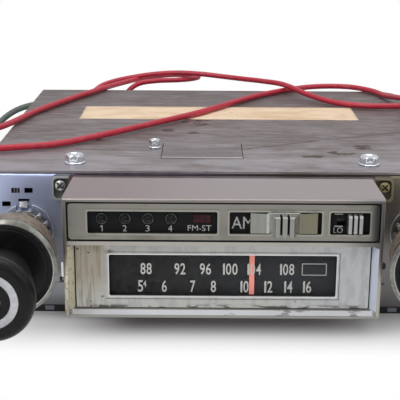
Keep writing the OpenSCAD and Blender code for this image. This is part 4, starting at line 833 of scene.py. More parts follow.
class Finishes:
    """The finishes of the tape player."""

    LID = LidMetal("lid_metal", "zinc_sheet", srgb(152, 147, 151), srgb(112, 101, 96), 0.42, 0.6, stain_share=0.3)
    SHEET = AgedMetal("chassis_sheet", "zinc_sheet", srgb(150, 148, 146), roughness=0.42, metallic=0.7)
    PAN = PanMetal("pan_sheet", "zinc_sheet", srgb(128, 126, 122), roughness=0.45, metallic=0.7)
    FRONT = FrontPlateMetal("front_plate_metal", "front_sheet", srgb(176, 180, 200), srgb(120, 122, 140), 0.36, 0.7,
                            contrast=0.03, stain_share=0.1, speck_share=0.06)
    SCREW = AgedMetal("screw_zinc", "screw_steel", srgb(232, 237, 243), roughness=0.13, grain=Axis.NONE,
                      stain_share=0.1, speck_share=0.0)
    FIXING = ScrewMetal("fixing_screw_metal", "screw_steel", srgb(186, 190, 186), roughness=0.28, grain=Axis.NONE)
    PAPER = Paper("paper_strip", "paper", srgb(236, 212, 184))
    NOSE = NoseMetal("nosepiece_plating", "chrome_cast", srgb(180, 172, 173), srgb(158, 149, 147), 0.11, 0.95,
                     contrast=0.015, grain_share=0.03, stain_share=0.1, speck_share=0.05, relief=0.0015 * MM)
    PANEL = PanelMetal("panel_metal", "chrome_cast", srgb(141, 139, 131), srgb(120, 116, 104), 0.36, 0.7,
                       contrast=0.02, stain_share=0.25, speck_share=0.06, relief=0.003 * MM)
    DOOR = DoorMetal("door_aluminium", "door_metal", srgb(187, 187, 183), srgb(150, 146, 137), 0.36, 0.6,
                     contrast=0.03, stain_share=0.2, speck_share=0.1, relief=0.004 * MM)
    BUTTON = SliderMetal("slider_plating", "button_metal", srgb(214, 216, 214), srgb(180, 174, 158), 0.2, 0.9,
                         grain=Axis.Z, stain_share=0.2, speck_share=0.05)
    RING = RingMetal("ring_plating", "chrome_cast", srgb(134, 134, 128), srgb(104, 99, 86), 0.26, 0.8, Axis.NONE,
                     stain_share=0.2)
    NUT = NutMetal("nut_plating", "screw_steel", srgb(240, 240, 234), srgb(130, 116, 96), 0.17, 0.9, Axis.NONE,
                   stain_share=0.3)
    INLAY = AgedMetal("inlay_silver", "chrome_cast", srgb(190, 192, 196), srgb(160, 160, 160), 0.34, 0.6,
                      grain=Axis.NONE, stain_share=0.2)
    KNOB = Plastic("knob_black", "black_plastic", srgb(12, 12, 14), 0.33, dust_share=0.04, specular=0.2)
    BLACK = Plastic("moulded_black", "black_plastic", srgb(26, 26, 28), 0.5, dust_share=0.15)
    RUBBER = Plastic("grommet_rubber", "rubber", srgb(28, 28, 30), 0.6, dust_share=0.2)
    DIAL = DialPaint("dial_print", "black_plastic", srgb(22, 22, 18), srgb(54, 57, 62))
    LEGEND = DialPaint("legend_print", "black_plastic", srgb(16, 16, 19))
    # the last number of the figures and the pointer is a painted glow that brightens them in the dial's recess
    FIGURE = FigurePaint("dial_figures", "paper", srgb(226, 226, 222), 0.05)
    MARK = FigurePaint("legend_marks", "paper", srgb(182, 182, 180))
    POINTER = FigurePaint("pointer_paint", "pointer", srgb(244, 152, 140), 0.36)
    GLASS = ClearPane("dial_pane", "dial_glass")
    LAMP = Lens("track_lamp", "lamp_lens", srgb(8, 8, 10), 0.3, 0.0, 0.25)
    LAMP_RIM = AgedMetal("lamp_rim", "inner_metal", srgb(124, 126, 124), srgb(16, 16, 18), 0.3, 0.7, Axis.NONE,
                         stain_size=0.0016, stain_share=0.5, speck_share=0.0)
    STEREO = Lens("stereo_lamp", "stereo_red", srgb(44, 7, 12), 0.2, 0.0, 0.2)
    BRASS = AgedMetal("turned_brass", "shaft_brass", srgb(196, 176, 128), roughness=0.3)
    BRONZE = AgedMetal("bearing_bronze", "shaft_brass", srgb(170, 128, 84), roughness=0.34)
    STEEL = AgedMetal("bright_steel", "inner_metal", srgb(196, 198, 200), roughness=0.24, stain_share=0.1)
    PLATED = AgedMetal("inner_plating", "inner_metal", srgb(168, 170, 168), roughness=0.36, stain_share=0.2)
    FLYWHEEL = AgedMetal("flywheel_zinc", "inner_metal", srgb(160, 154, 138), roughness=0.4)
    NYLON = Plastic("white_nylon", "nylon", srgb(214, 208, 190), 0.45, dust_share=0.25)
    COIL = Plastic("coil_wrap", "solenoid", srgb(140, 84, 48), 0.5, dust_share=0.2)
    BOARD = Plastic("board_laminate", "board", srgb(122, 92, 50), 0.5, dust_share=0.3)
    SINK = Plastic("sink_black", "black_alloy", srgb(34, 35, 37), 0.42, dust_share=0.25, relief=0.03 * MM)
    TRANSISTOR = AgedMetal("transistor_can", "transistor_metal", srgb(178, 180, 182), roughness=0.3)
    LEAD_RED = LeadPlastic("red_insulation", "lead_red", srgb(188, 36, 60), 0.3)
    LEAD_GREY = LeadPlastic("grey_insulation", "lead_grey", srgb(94, 104, 98), 0.45)
    SOCKET = AgedMetal("socket_plating", "socket_metal", srgb(200, 202, 202), roughness=0.24, grain=Axis.Y)


# ---------------------------------------------------------------- mesh making


def body_of(node: str) -> str:
    """The body that a CAD node rides on."""
    return FRAME["nodes"][node]["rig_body"]


def settle(piece: bpy.types.Object, finish: Finish, body: str, stands_for: Sequence[str] = ()) -> bpy.types.Object:
    """Dresses a new piece and ties it to the frame.

    Args:
        piece: The piece, already in place.
        finish: Its finish.
        body: The body it rides on.
        stands_for: CAD nodes that it replaces.

    Returns:
        The same piece.
    """
    piece.data.materials.clear()
    piece.data.materials.append(finish.material())
    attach(piece, body)
    if stands_for:
        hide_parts(*stands_for)
    LOG.info("piece %s rides on %s", piece.name, body)
    return piece


def mesh_object(name: str, mesh: bmesh.types.BMesh, angle: float = 32.0) -> bpy.types.Object:
    """Turns a bmesh into a linked object, smooth apart from edges sharper than an angle.

    Args:
        name: The object's name.
        mesh: The mesh; it is freed.
        angle: Angle in degrees above which an edge stays sharp.

    Returns:
        The new object.
    """
    data = bpy.data.meshes.new(name)
    bmesh.ops.recalc_face_normals(mesh, faces=mesh.faces)
    mesh.to_mesh(data)
    mesh.free()
    data.shade_smooth()
    data.set_sharp_from_angle(angle=math.radians(angle))
    piece = bpy.data.objects.new(name, data)
    bpy.context.scene.collection.objects.link(piece)
    return piece


def soften(piece: bpy.types.Object, width: float, segments: int = 2) -> None:
    """Rounds a piece's sharp edges.

    Args:
        piece: The piece.
        width: Width of the rounding in metres.
        segments: Number of faces across it.
    """
    bevel = piece.modifiers.new("edge", "BEVEL")
    bevel.width, bevel.segments, bevel.limit_method = width, segments, "ANGLE"
    bevel.angle_limit = math.radians(28)
    bevel.harden_normals = True


def refined(node: str, finish: Finish, width: float = 0.15 * MM, segments: int = 2) -> bpy.types.Object:
    """A copy of a CAD node with its flat faces joined and its edges rounded, which replaces the node.

    Args:
        node: The CAD node.
        finish: The piece's finish.
        width: Width of the rounding in metres.
        segments: Number of faces across it.

    Returns:
        The new piece.
    """
    mesh = bmesh.new()
    mesh.from_mesh(FRAME["nodes"][node].data)
    bmesh.ops.remove_doubles(mesh, verts=mesh.verts, dist=0.002 * MM)
    bmesh.ops.dissolve_limit(mesh, angle_limit=math.radians(0.6), verts=mesh.verts, edges=mesh.edges)
    piece = mesh_object(f"{node}_form", mesh)
    soften(piece, width, segments)
    return settle(piece, finish, body_of(node), [node])


def turned(profile: Profile, centre: Point, steps: int = 96, closed: bool = False) -> bmesh.types.BMesh:
    """A solid of revolution about an axis along Y.

    Args:
        profile: Points as (radius, distance along Y) in millimetres.
        centre: The axis' point where the distance is 0, in millimetres.
        steps: Number of faces round it.
        closed: Whether the outline returns to its first point.

    Returns:
        The mesh.
    """
    mesh = bmesh.new()
    rings = []
    for radius, along in profile:
        if radius < 1e-6:
            rings.append([mesh.verts.new(Vector((centre[0], centre[1] + along, centre[2])) * MM)])
            continue
        ring = []
        for index in range(steps):
            turn = math.tau * index / steps
            spot = Vector((centre[0] + radius * math.cos(turn), centre[1] + along, centre[2] + radius * math.sin(turn)))
            ring.append(mesh.verts.new(spot * MM))
        rings.append(ring)
    pairs = list(zip(rings, rings[1:])) + ([(rings[-1], rings[0])] if closed else [])
    for first, second in pairs:
        for index in range(steps):
            following = (index + 1) % steps
            corners = [first[index % len(first)], first[following % len(first)],
                       second[following % len(second)], second[index % len(second)]]
            unique = list(dict.fromkeys(corners))
            if len(unique) > 2:
                mesh.faces.new(unique)
    return mesh


def arc(
    centre: tuple[float, float], radius: float, start: float, stop: float, steps: int = 6
) -> list[tuple[float, float]]:
    """Points of a round corner of a profile.

    Args:
        centre: The arc's centre.
        radius: Its radius.
        start: First angle in degrees.
        stop: Last angle in degrees.
        steps: Number of straight pieces.

    Returns:
        The points.
    """
    turns = [math.radians(start + (stop - start) * index / steps) for index in range(steps + 1)]
    return [(centre[0] + radius * math.cos(turn), centre[1] + radius * math.sin(turn)) for turn in turns]


def joined(meshes: Iterable[bmesh.types.BMesh]) -> bmesh.types.BMesh:
    """Joins several meshes into one."""
    whole = bmesh.new()
    for mesh in meshes:
        data = bpy.data.meshes.new("part")
        mesh.to_mesh(data)
        mesh.free()
        whole.from_mesh(data)
        bpy.data.meshes.remove(data)
    return whole


def bar(low: Point, high: Point) -> bmesh.types.BMesh:
    """A block between two corners given in millimetres, for thin printed bars and frames."""
    mesh = bmesh.new()
    bmesh.ops.create_cube(mesh, size=1.0)
    size = Vector(high) - Vector(low)
    middle = (Vector(high) + Vector(low)) / 2
    placed = Matrix.Translation(middle * MM) @ Matrix.Diagonal((*(size * MM), 1.0))
    bmesh.ops.transform(mesh, matrix=placed, verts=mesh.verts)
    return mesh


def dress(finish: Finish, *nodes: str) -> None:
    """Gives CAD nodes, kept as they are, a finish."""
    for node in nodes:
        data = FRAME["nodes"][node].data
        data.materials.clear()
        data.materials.append(finish.material())
        LOG.info("node %s finished as %s", node, finish.name)


# ---------------------------------------------------------------- studio


@dataclass
class Studio:
    """Camera, floor, world and lamps."""

    eye: Point = (-7.40, -447.66, 153.89)
    yaw: float = 0.131
    pitch: float = 16.555
    roll: float = 0.333
    focal_px: float = 1028.4
    frame_px: float = 400.0
    sensor_mm: float = 36.0
    floor_half: float = 3.0
    lamps: tuple = (
        ("key_lamp", (-0.55, -0.75, 0.95), 0.7, 5.5),
        ("top_lamp", (0.15, 0.15, 1.25), 0.9, 5.0),
        ("fill_lamp", (0.9, -0.6, 0.6), 0.8, 2.0),
    )

    def place_camera(self) -> None:
        """Makes the camera at the photograph's viewing angle."""
        yaw, pitch, roll = (math.radians(turn) for turn in (self.yaw, self.pitch, self.roll))
        right = Vector((math.cos(yaw), math.sin(yaw), 0))
        ahead = Vector((-math.sin(yaw) * math.cos(pitch), math.cos(yaw) * math.cos(pitch), -math.sin(pitch)))
        up = right.cross(ahead)
        side = right * math.cos(roll) + up * math.sin(roll)
        top = up * math.cos(roll) - right * math.sin(roll)
        data = bpy.data.cameras.new("camera")
        data.sensor_width = self.sensor_mm
        data.lens = self.focal_px / self.frame_px * self.sensor_mm
        data.clip_start, data.clip_end = 0.01, 20.0
        camera = bpy.data.objects.new("camera", data)
        turn = Matrix((side, top, -ahead)).transposed().to_4x4()
        camera.matrix_world = Matrix.Translation(Vector(self.eye) * MM) @ turn
        bpy.context.scene.collection.objects.link(camera)
        bpy.context.scene.camera = camera

    def light(self) -> None:
        """Makes the soft lamps and the pale world."""
        for name, spot, size, energy in self.lamps:
            data = bpy.data.lights.new(name, "AREA")
            data.energy, data.size = energy, size
            lamp = bpy.data.objects.new(name, data)
            lamp.location = spot
            lamp.rotation_euler = (-Vector(spot)).to_track_quat("-Z", "Y").to_euler()
            bpy.context.scene.collection.objects.link(lamp)
        world = bpy.data.worlds.new("studio")
        bpy.context.scene.world = world
        shader = Shader(world, "Generated")
        across, ahead, height = shader.axes(1.0)
        ray = shader.rays()
        behind = ahead.above(-0.3, 0.5)
        room = shader.mix(height.above(0.1, 0.9), (0.30, 0.30, 0.31), (0.95, 0.95, 0.95))
        room = shader.mix((1 - across.above(-0.8, 0.1)) * 0.4, room, (0.9, 0.91, 0.95))
        backdrop = shader.mix(height.above(0.05, 0.8), (0.62, 0.60, 0.60), (0.75, 0.75, 0.76))
        seen = shader.mix(behind, room, backdrop)
        seen = shader.mix(ray[0] + ray[2], seen, (1.0, 1.0, 1.0))
        soft = shader.mix(height.above(-0.2, 0.8), (0.34, 0.34, 0.35), (0.48, 0.48, 0.48))
        colour = shader.mix(ray[0] + ray[1] + ray[2], soft, seen)
        shade = shader.node("ShaderNodeBackground", None, {"Color": colour, "Strength": 1.0})
        shader.output("ShaderNodeOutputWorld", shade)
        bpy.context.scene.view_settings.view_transform = "Standard"

    def lay_floor(self) -> None:
        """Lays the pale floor, white away from the object and with its shadow near it."""
        mesh = bmesh.new()
        bmesh.ops.create_grid(mesh, x_segments=4, y_segments=4, size=self.floor_half)
        floor = mesh_object("floor", mesh)
        shader = Shader(bpy.data.materials.new("pale_floor"))
        x, y, _ = shader.axes(1.0)
        shaded = y.above(-0.122, -0.090) * (1 - abs(x).above(0.095, 0.16)) * (1 - y.above(0.15, 0.3))
        ahead = 1 - y.above(-0.092, -0.082)
        # painted light: ahead of the nosepiece's left and right ends part of the shadow is swapped for the white glow,
        # which lightens it
        shaded = shaded * (1 - ahead * ((-1 * x).above(0.03, 0.06) * 0.3 + x.above(0.035, 0.065) * 0.08))
        ray = shader.rays()
        pale = shader.mix(shader.noise(0.08, 3.0), (0.71, 0.71, 0.72), (0.77, 0.77, 0.78))
        matt = shader.node("ShaderNodeBsdfPrincipled", None, {"Base Color": pale, "Roughness": 0.6})
        glow = shader.node("ShaderNodeEmission", None, {"Color": (1.0, 1.0, 1.0), "Strength": 1.0})
        share = (1 - shaded) * (ray[0] + ray[1] + ray[2])
        shade = shader.node("ShaderNodeMixShader", None, {0: share, 1: matt, 2: glow})
        shader.output("ShaderNodeOutputMaterial", shade)
        floor.data.materials.append(shader.owner)


# ---------------------------------------------------------------- leads


@dataclass
class Leads:
    """The red power lead that lies over the cover, and the short grey aerial lead."""

    power_diameter: float = 2.7
    aerial_diameter: float = 3.2
    exit_y: float = 81.5
    power_route: tuple = (
        (-66, 78.5, 46), (-66, 86, 46),
        (-67.5, 92, 48), (-67, 98.5, 50.8), (-62.5, 104.5, 54), (-56, 108, 55.9), (-49, 109.5, 57.3), (-36, 110, 59.4),
        (-22.5, 109.5, 60.5), (-9, 107, 60.4), (4.5, 102.5, 59.7), (15, 96, 59.6), (22, 90, 59.9),
        (34, 76, 60.4), (45, 58, 58.6), (56, 44, 57.6), (71, 36, 57.5),
        (87, 35, 57.7), (101, 36.5, 57.2), (109, 34.5, 56.6), (113, 28, 56.4), (113, 20, 56.7), (108, 14, 57.2),
        (101, 13.5, 58.2), (95, 19, 59.4), (90.5, 33, 60.9),
        (87, 47, 59.6), (84, 61, 57.8), (79, 76, 57.5), (68, 87, 57.5), (52, 87, 57.5), (36, 77, 57.5),
        (18, 58, 57.5), (4, 37, 57.7), (-10, 16, 57.7), (-30, -8, 57.7), (-50, -31, 57.7), (-67, -46, 57.5),
        (-86, -54, 57.7), (-99, -56, 57.2), (-108, -53, 56.8), (-112, -45, 56.8), (-109, -35, 57), (-101, -26, 57.5),
        (-93, -13, 57.7), (-84, 20, 57.5), (-72, 50, 57.5), (-60, 76, 57.5), (-53, 91, 57.3), (-45, 106, 57),
        (-36, 118, 56.8), (-25, 124, 57), (-14.5, 122, 57.1), (-10, 116.5, 57.1), (-14, 110.8, 57), (-22, 107.5, 56.9),
        (-33, 104.5, 56.9), (-43, 101.5, 55.4), (-49.5, 99.5, 49.5), (-53, 101, 39), (-56, 104, 26), (-57, 108, 13),
        (-54, 114, 5), (-47, 121, 2.2), (-41, 126, 2.2),
    )
    aerial_route: tuple = (
        (-80, 78.5, 44), (-80, 84, 44),
        (-82, 90, 45), (-89, 93, 46.3), (-98, 92, 45.8), (-108, 89, 42.6), (-116, 84, 36),
        (-120, 80, 26), (-121, 78, 14), (-121, 80, 6), (-120, 86, 2.2), (-115, 94, 1.7), (-108, 99, 1.7),
        (-102, 104, 2.6), (-98.6, 110, 4.6), (-98, 116, 5.6), (-98, 120, 5.6),
    )

    def smooth_path(self, route: Sequence[Point], steps: int = 6) -> list[Vector]:
        """A smooth line through the route's points, in metres.

        Args:
            route: The points in millimetres.
            steps: Number of pieces between two points.

        Returns:
            The points of the line.
        """
        spots = [Vector(point) * MM for point in route]
        spots = [spots[0] * 2 - spots[1], *spots, spots[-1] * 2 - spots[-2]]
        path = []
        for before, start, stop, after in zip(spots, spots[1:], spots[2:], spots[3:]):
            reach = (stop - start).length
            first = (stop - before).normalized() * reach
            last = (after - start).normalized() * reach
            for index in range(steps):
                t = index / steps
                path.append(start * (2 * t**3 - 3 * t**2 + 1) + first * (t**3 - 2 * t**2 + t)
                            + stop * (3 * t**2 - 2 * t**3) + last * (t**3 - t**2))
        path.append(spots[-2])
        return path

    def lead(self, name: str, route: Sequence[Point], diameter: float) -> tuple[bpy.types.Object, float]:
        """Makes one lead as a curve.

        Args:
            name: The curve's name.
            route: Its points in millimetres.
            diameter: Its diameter in millimetres.

        Returns:
            The curve and its length in metres.
        """
        path = self.smooth_path(route)
        data = bpy.data.curves.new(name, "CURVE")
        data.dimensions, data.bevel_depth, data.bevel_resolution = "3D", diameter / 2 * MM, 5
        data.use_fill_caps = True
        spline = data.splines.new("POLY")
        spline.points.add(len(path) - 1)
        for point, spot in zip(spline.points, path):
            point.co = (*spot, 1.0)
        spline.use_smooth = True
        curve = bpy.data.objects.new(name, data)
        bpy.context.scene.collection.objects.link(curve)
        return curve, sum((after - before).length for before, after in zip(path, path[1:]))

    def power_connector(self) -> bpy.types.Object:
        """The bullet connector at the power lead's end: an insulating sleeve, a bead and a tip."""
        start, before = Vector(self.power_route[-1]), Vector(self.power_route[-2])
        profile = [(0, 0), (1.5, 0), (1.9, 0.3), (2.15, 1), *arc((1.95, 13.6), 0.2, 0, 90, 3), (1.75, 14.2), (1.75, 15),
                   (1.2, 15.2), (1.2, 16.6), (1.75, 17.2), (1.75, 18.2), (1.35, 19), (1.35, 20), (0.9, 20.9), (0, 21)]
        mesh = turned(profile, (0, 0, 0), 40)
        turn = (start - before).to_2d()
        angle = math.atan2(turn.y, turn.x) - math.pi / 2
        bmesh.ops.rotate(mesh, matrix=Matrix.Rotation(angle, 3, "Z"), verts=mesh.verts)
        bmesh.ops.translate(mesh, vec=start * MM, verts=mesh.verts)
        return mesh_object("bullet_connector", mesh)

    def aerial_socket(self) -> bpy.types.Object:
        """The in-line socket: a sleeve with two ring grooves and a bead, a stepped neck and an open bore."""
        end = self.aerial_route[-1]
        profile = [(0, 0), (2.2, 0), (3.8, 0.4), (4.0, 0.8), (4.0, 5.6), (4.6, 6.0), *arc((5.2, 6.4), 0.4, -90, 0, 3),
                   (5.6, 10.5), (5.3, 11), (5.3, 11.6), (5.6, 12), (5.6, 14), (5.3, 14.4), (5.3, 15), (5.6, 15.4),
                   *arc((5.2, 29.6), 0.4, 0, 90, 3), (4.3, 30), (3.95, 29.6), (3.95, 13), (1.0, 12.6), (0.9, 12.2),
                   (0, 12.2)]
        return mesh_object("aerial_socket_form", turned(profile, (end[0], end[1], 5.6), 64))

    def build(self) -> None:
        """Makes both leads with what is on their ends."""
        power, length = self.lead("red_power_lead", self.power_route, self.power_diameter)
        settle(power, Finishes.LEAD_RED, "chassis", ["power_lead"])
        bullet = settle(self.power_connector(), Finishes.LEAD_RED, "chassis", ["power_connector"])
        LOG.info("power lead %.4f m", length)
        aerial, length = self.lead("grey_aerial_lead", self.aerial_route, self.aerial_diameter)
        settle(aerial, Finishes.LEAD_GREY, "chassis", ["antenna_lead"])
        socket = settle(self.aerial_socket(), Finishes.SOCKET, "chassis", ["antenna_socket"])
        LOG.info("aerial lead %.4f m", length)


# ---------------------------------------------------------------- case


@dataclass
class Case:
    """The chassis, its covers and screws, the paper strip and the rear fittings."""

    screw_spots: tuple = ((-55.8, -69.5, 4.0, 6.4, 2.6), (55.8, -69.5, 4.0, 6.4, 2.6), (-26.6, -44.5, 2.5, 4.0, 2.6))

    def hex_screw(self, spot: tuple[float, float, float, float, float]) -> bmesh.types.BMesh:
        """A hexagon washer-head screw, indented on top.

        Args:
            spot: X, Y, washer radius, width across the flats and height of the hexagon, in millimetres.

        Returns:
            The mesh.
        """
        x, y, washer, flats, height = spot
        base, sides, steps = 0.8, 6, 24
        sector = math.tau / sides
        top = height + base
        profile = [(0, -4.2), (1.3, -4.2), (1.5, -3.8), (1.5, 0), (washer - 0.5, 0),
                   *arc((washer - 0.35, 0.35), 0.35, -90, 60, 6), (flats * 0.5, base), (0, base)]
        stem = turned(profile, (0, 0, 0), 48)
        bmesh.ops.rotate(stem, matrix=Matrix.Rotation(math.pi / 2, 3, "X"), verts=stem.verts)
        head = bmesh.new()
        corner = flats / 2 / math.cos(sector / 2)
        levels = [(corner, base), (corner, top - 0.45), (flats / 2 * 0.96, top), (flats / 2 * 0.74, top),
                  (flats / 2 * 0.5, top - 0.5), (0.001, top - 0.6)]
        rings = []
        for radius, up in levels:
            ring = []
            for index in range(steps):
                turn = math.tau * index / steps
                # a hexagon outside the flats, and a circle inside them
                flat = math.cos(sector / 2) / math.cos((turn % sector) - sector / 2)
                reach = radius * (flat if radius >= flats / 2 else 1.0)
                ring.append(head.verts.new(Vector((reach * math.cos(turn), reach * math.sin(turn), up)) * MM))
            rings.append(ring)
        for first, second in zip(rings, rings[1:]):
            for index in range(steps):
                following = (index + 1) % steps
                head.faces.new((first[index], first[following], second[following], second[index]))
        head.faces.new(rings[-1])
        head.faces.new(rings[0][::-1])
        mesh = joined((stem, head))
        bmesh.ops.translate(mesh, vec=Vector((x, y, LID_Z)) * MM, verts=mesh.verts)
        return mesh

    def paper_strip(self) -> bpy.types.Object:
        """The paper strip, with slightly torn edges and a gentle wave that lifts it a hair."""
        low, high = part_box("label_strip")
        mesh = bmesh.new()
        columns, rows = 64, 10
        grid = []
        for i in range(columns + 1):
            line = []
            for j in range(rows + 1):
                u, v = i / columns, j / rows
                x = low.x + (high.x - low.x) * u
                y = low.y + (high.y - low.y) * v
                edge = 0.25 * MM * math.sin(i * 1.7 + j) * (0.5 - abs(u - 0.5) < 0.01)
                side = 0.15 * MM * math.sin(i * 2.3) * math.sin(i * 0.7) * (j in (0, rows))
                x += abs(edge) * (1 if u < 0.5 else -1)
                y += abs(side) * (1 if v < 0.5 else -1)
                wave = 0.10 * MM * abs(math.sin(u * 9) * math.sin(v * 3))
                line.append(mesh.verts.new((x, y, low.z + 0.06 * MM + wave)))
            grid.append(line)
        for i in range(columns):
            for j in range(rows):
                mesh.faces.new((grid[i][j], grid[i + 1][j], grid[i + 1][j + 1], grid[i][j + 1]))
        strip = mesh_object("paper_strip_form", mesh)
        thick = strip.modifiers.new("thickness", "SOLIDIFY")
        thick.thickness, thick.offset = 0.06 * MM, -1
        return strip

    def build(self) -> None:
        """Makes and dresses the case's pieces."""
        refined("top_cover", Finishes.LID, 0.18 * MM)
        refined("front_plate", Finishes.FRONT, 0.12 * MM)
        refined("chassis_frame", Finishes.SHEET, 0.12 * MM)
        refined("rear_panel", Finishes.SHEET, 0.15 * MM)
        refined("bottom_cover", Finishes.PAN, 0.15 * MM)
        settle(mesh_object("hex_screws", joined(self.hex_screw(spot) for spot in self.screw_spots)), Finishes.SCREW,
               "chassis", ["cover_screws"])
        settle(self.paper_strip(), Finishes.PAPER, "chassis", ["label_strip"])
        refined("heat_sink", Finishes.SINK, 0.2 * MM)
        refined("lead_grommets", Finishes.RUBBER, 0.3 * MM, 3)
        dress(Finishes.TRANSISTOR, "power_transistors")


# ---------------------------------------------------------------- printed marks


@dataclass(frozen=True)
class Mark:
    """A printed figure or word, by its middle, height and width in millimetres."""

    text: str
    x: float
    z: float
    height: float
    width: float


def spread(mark: Mark, one: float = 0.42, gap: float = 0.2) -> list[Mark]:
    """Splits a number into its figures, with a narrower place for each 1.

    Args:
        mark: The number.
        one: Width of a 1 as a share of the other figures' width.
        gap: Gap between two figures as a share of their width.

    Returns:
        One mark for each figure, or the mark itself if it isn't a number.
    """
    if not mark.text.isdigit():
        return [mark]
    shares = [one if figure == "1" else 1.0 for figure in mark.text]
    unit = mark.width / (sum(shares) + gap * (len(shares) - 1))
    figures, start = [], mark.x - mark.width / 2
    for figure, share in zip(mark.text, shares):
        figures.append(Mark(figure, start + unit * share / 2, mark.z, mark.height, unit * share))
        start += unit * (share + gap)
    return figures


def figure_one(mark: Mark, face_y: float) -> bmesh.types.BMesh:
    """A 1 made of a plain stem with a short flag."""
    left, right = mark.x - mark.width / 2, mark.x + mark.width / 2
    top, foot = mark.z + mark.height / 2, mark.z - mark.height / 2
    stroke, flag = mark.height * 0.15, top - mark.height * 0.2
    outline = [(right, foot), (right, top), (right - stroke * 0.8, top), (left, flag),
               (left, flag - stroke * 0.9), (right - stroke, flag), (right - stroke, foot)]
    mesh = bmesh.new()
    mesh.faces.new([mesh.verts.new(Vector((x, face_y - 0.015, z)) * MM) for x, z in outline])
    return mesh


def printed(name: str, marks: Sequence[Mark], face_y: float, finish: Finish, body: str, bold: float = 0.0,
            extra: Sequence[bmesh.types.BMesh] = ()) -> bpy.types.Object:
    """Prints marks on a face that looks to the front.

    Args:
        name: The piece's name.
        marks: The marks.
        face_y: The face's Y in millimetres.
        finish: The print's finish.
        body: The body that it rides on.
        bold: Extra stroke width, as a share of the height.
        extra: Other printed shapes.

    Returns:
        The print as one piece.
    """
    parts = list(extra)
    for mark in (figure for number in marks for figure in spread(number)):
        if mark.text == "1":
            parts.append(figure_one(mark, face_y))
            continue
        data = bpy.data.curves.new("mark", "FONT")
        data.body, data.size, data.offset, data.extrude, data.resolution_u = mark.text, 1.0, bold, 0.01, 6
        text = bpy.data.objects.new("mark", data)
        bpy.context.scene.collection.objects.link(text)
        bpy.context.view_layer.update()
        solid = bpy.data.meshes.new_from_object(text.evaluated_get(bpy.context.evaluated_depsgraph_get()))
        bpy.data.objects.remove(text)
        part = bmesh.new()
        part.from_mesh(solid)
        bpy.data.meshes.remove(solid)
        across = [vert.co.x for vert in part.verts]
        along = [vert.co.y for vert in part.verts]
        wide, tall = max(across) - min(across), max(along) - min(along)
        for vert in part.verts:
            x = mark.x + ((vert.co.x - min(across)) / wide - 0.5) * mark.width
            z = mark.z + ((vert.co.y - min(along)) / tall - 0.5) * mark.height
            vert.co = Vector((x, face_y - 0.005 - vert.co.z, z)) * MM
        parts.append(part)
    return settle(mesh_object(name, joined(parts)), finish, body)


# ---------------------------------------------------------------- nosepiece


@dataclass
class Nosepiece:
    """The cast nosepiece with the control panel's windows, lamps and sliders."""

    pad_y: float = -106.9
    lamp_x: tuple = (-42.3, -34.27, -26.24, -18.21)
    lamp_z: float = 45.8

    def lamp(self, x: float) -> bmesh.types.BMesh:
        """A lamp's lens: a thin rim round a hollow dome."""
        profile = [(0, -0.05), (0.55, -0.05), (1.0, -0.2), (1.3, -0.5), (1.5, -0.5), (1.7, -0.4), (1.9, -0.2), (1.9, 0),
                   (1.65, 0.02), (1.65, 2.5), (0, 2.5)]
        return turned(profile, (x, self.pad_y, self.lamp_z), 32)

    def lamp_rim(self, x: float) -> bmesh.types.BMesh:
        """The worn bright rim on a lens."""
        profile = [(1.74, -0.5), (1.76, -0.58), (1.88, -0.56), (1.95, -0.4), (1.88, -0.3)]
        return turned(profile, (x, self.pad_y, self.lamp_z), 32, True)

    def marks(self) -> None:
        """Prints the figures and function marks in the windows."""
        numerals = [Mark(str(index + 1), x, 42.15, 2.25, 0.85 if index == 0 else 1.45)
                    for index, x in enumerate((-42.5, -34.4, -26.4, -18.5))]
        words = [Mark("FM-ST", -8.3, 42.4, 2.1, 8.2), Mark("AM", 6.6, 44.45, 4.4, 7.4),
                 Mark("LO", 40.0, 41.95, 2.0, 3.2)]
        bars = [bar((38.6, self.pad_y - 0.012, z - 0.2), (41.5, self.pad_y + 0.01, z + 0.2)) for z in (47.8, 43.37)]
        printed("window_marks", [*numerals, *words], self.pad_y, Finishes.MARK, "chassis", 0.0, bars)

    def build(self) -> None:
        """Makes and dresses the nosepiece's pieces."""
        refined("nosepiece", Finishes.NOSE, 0.25 * MM, 3)
        refined("control_panel", Finishes.PANEL, 0.16 * MM, 3)
        refined("nose_screws", Finishes.FIXING, 0.08 * MM)
        dress(Finishes.LEGEND, "legend_plate")
        refined("band_slider", Finishes.BUTTON, 0.2 * MM, 3)
        refined("distance_slider", Finishes.BUTTON, 0.15 * MM, 3)
        lenses = mesh_object("lamp_lenses", joined(self.lamp(x) for x in self.lamp_x))
        settle(lenses, Finishes.LAMP, "chassis", ["track_lenses"])
        settle(mesh_object("lamp_rims", joined(self.lamp_rim(x) for x in self.lamp_x)), Finishes.LAMP_RIM, "chassis")
        refined("stereo_lens", Finishes.STEREO, 0.2 * MM, 3)
        dress(Finishes.PLATED, "slide_switches")
        self.marks()


# ---------------------------------------------------------------- tape door


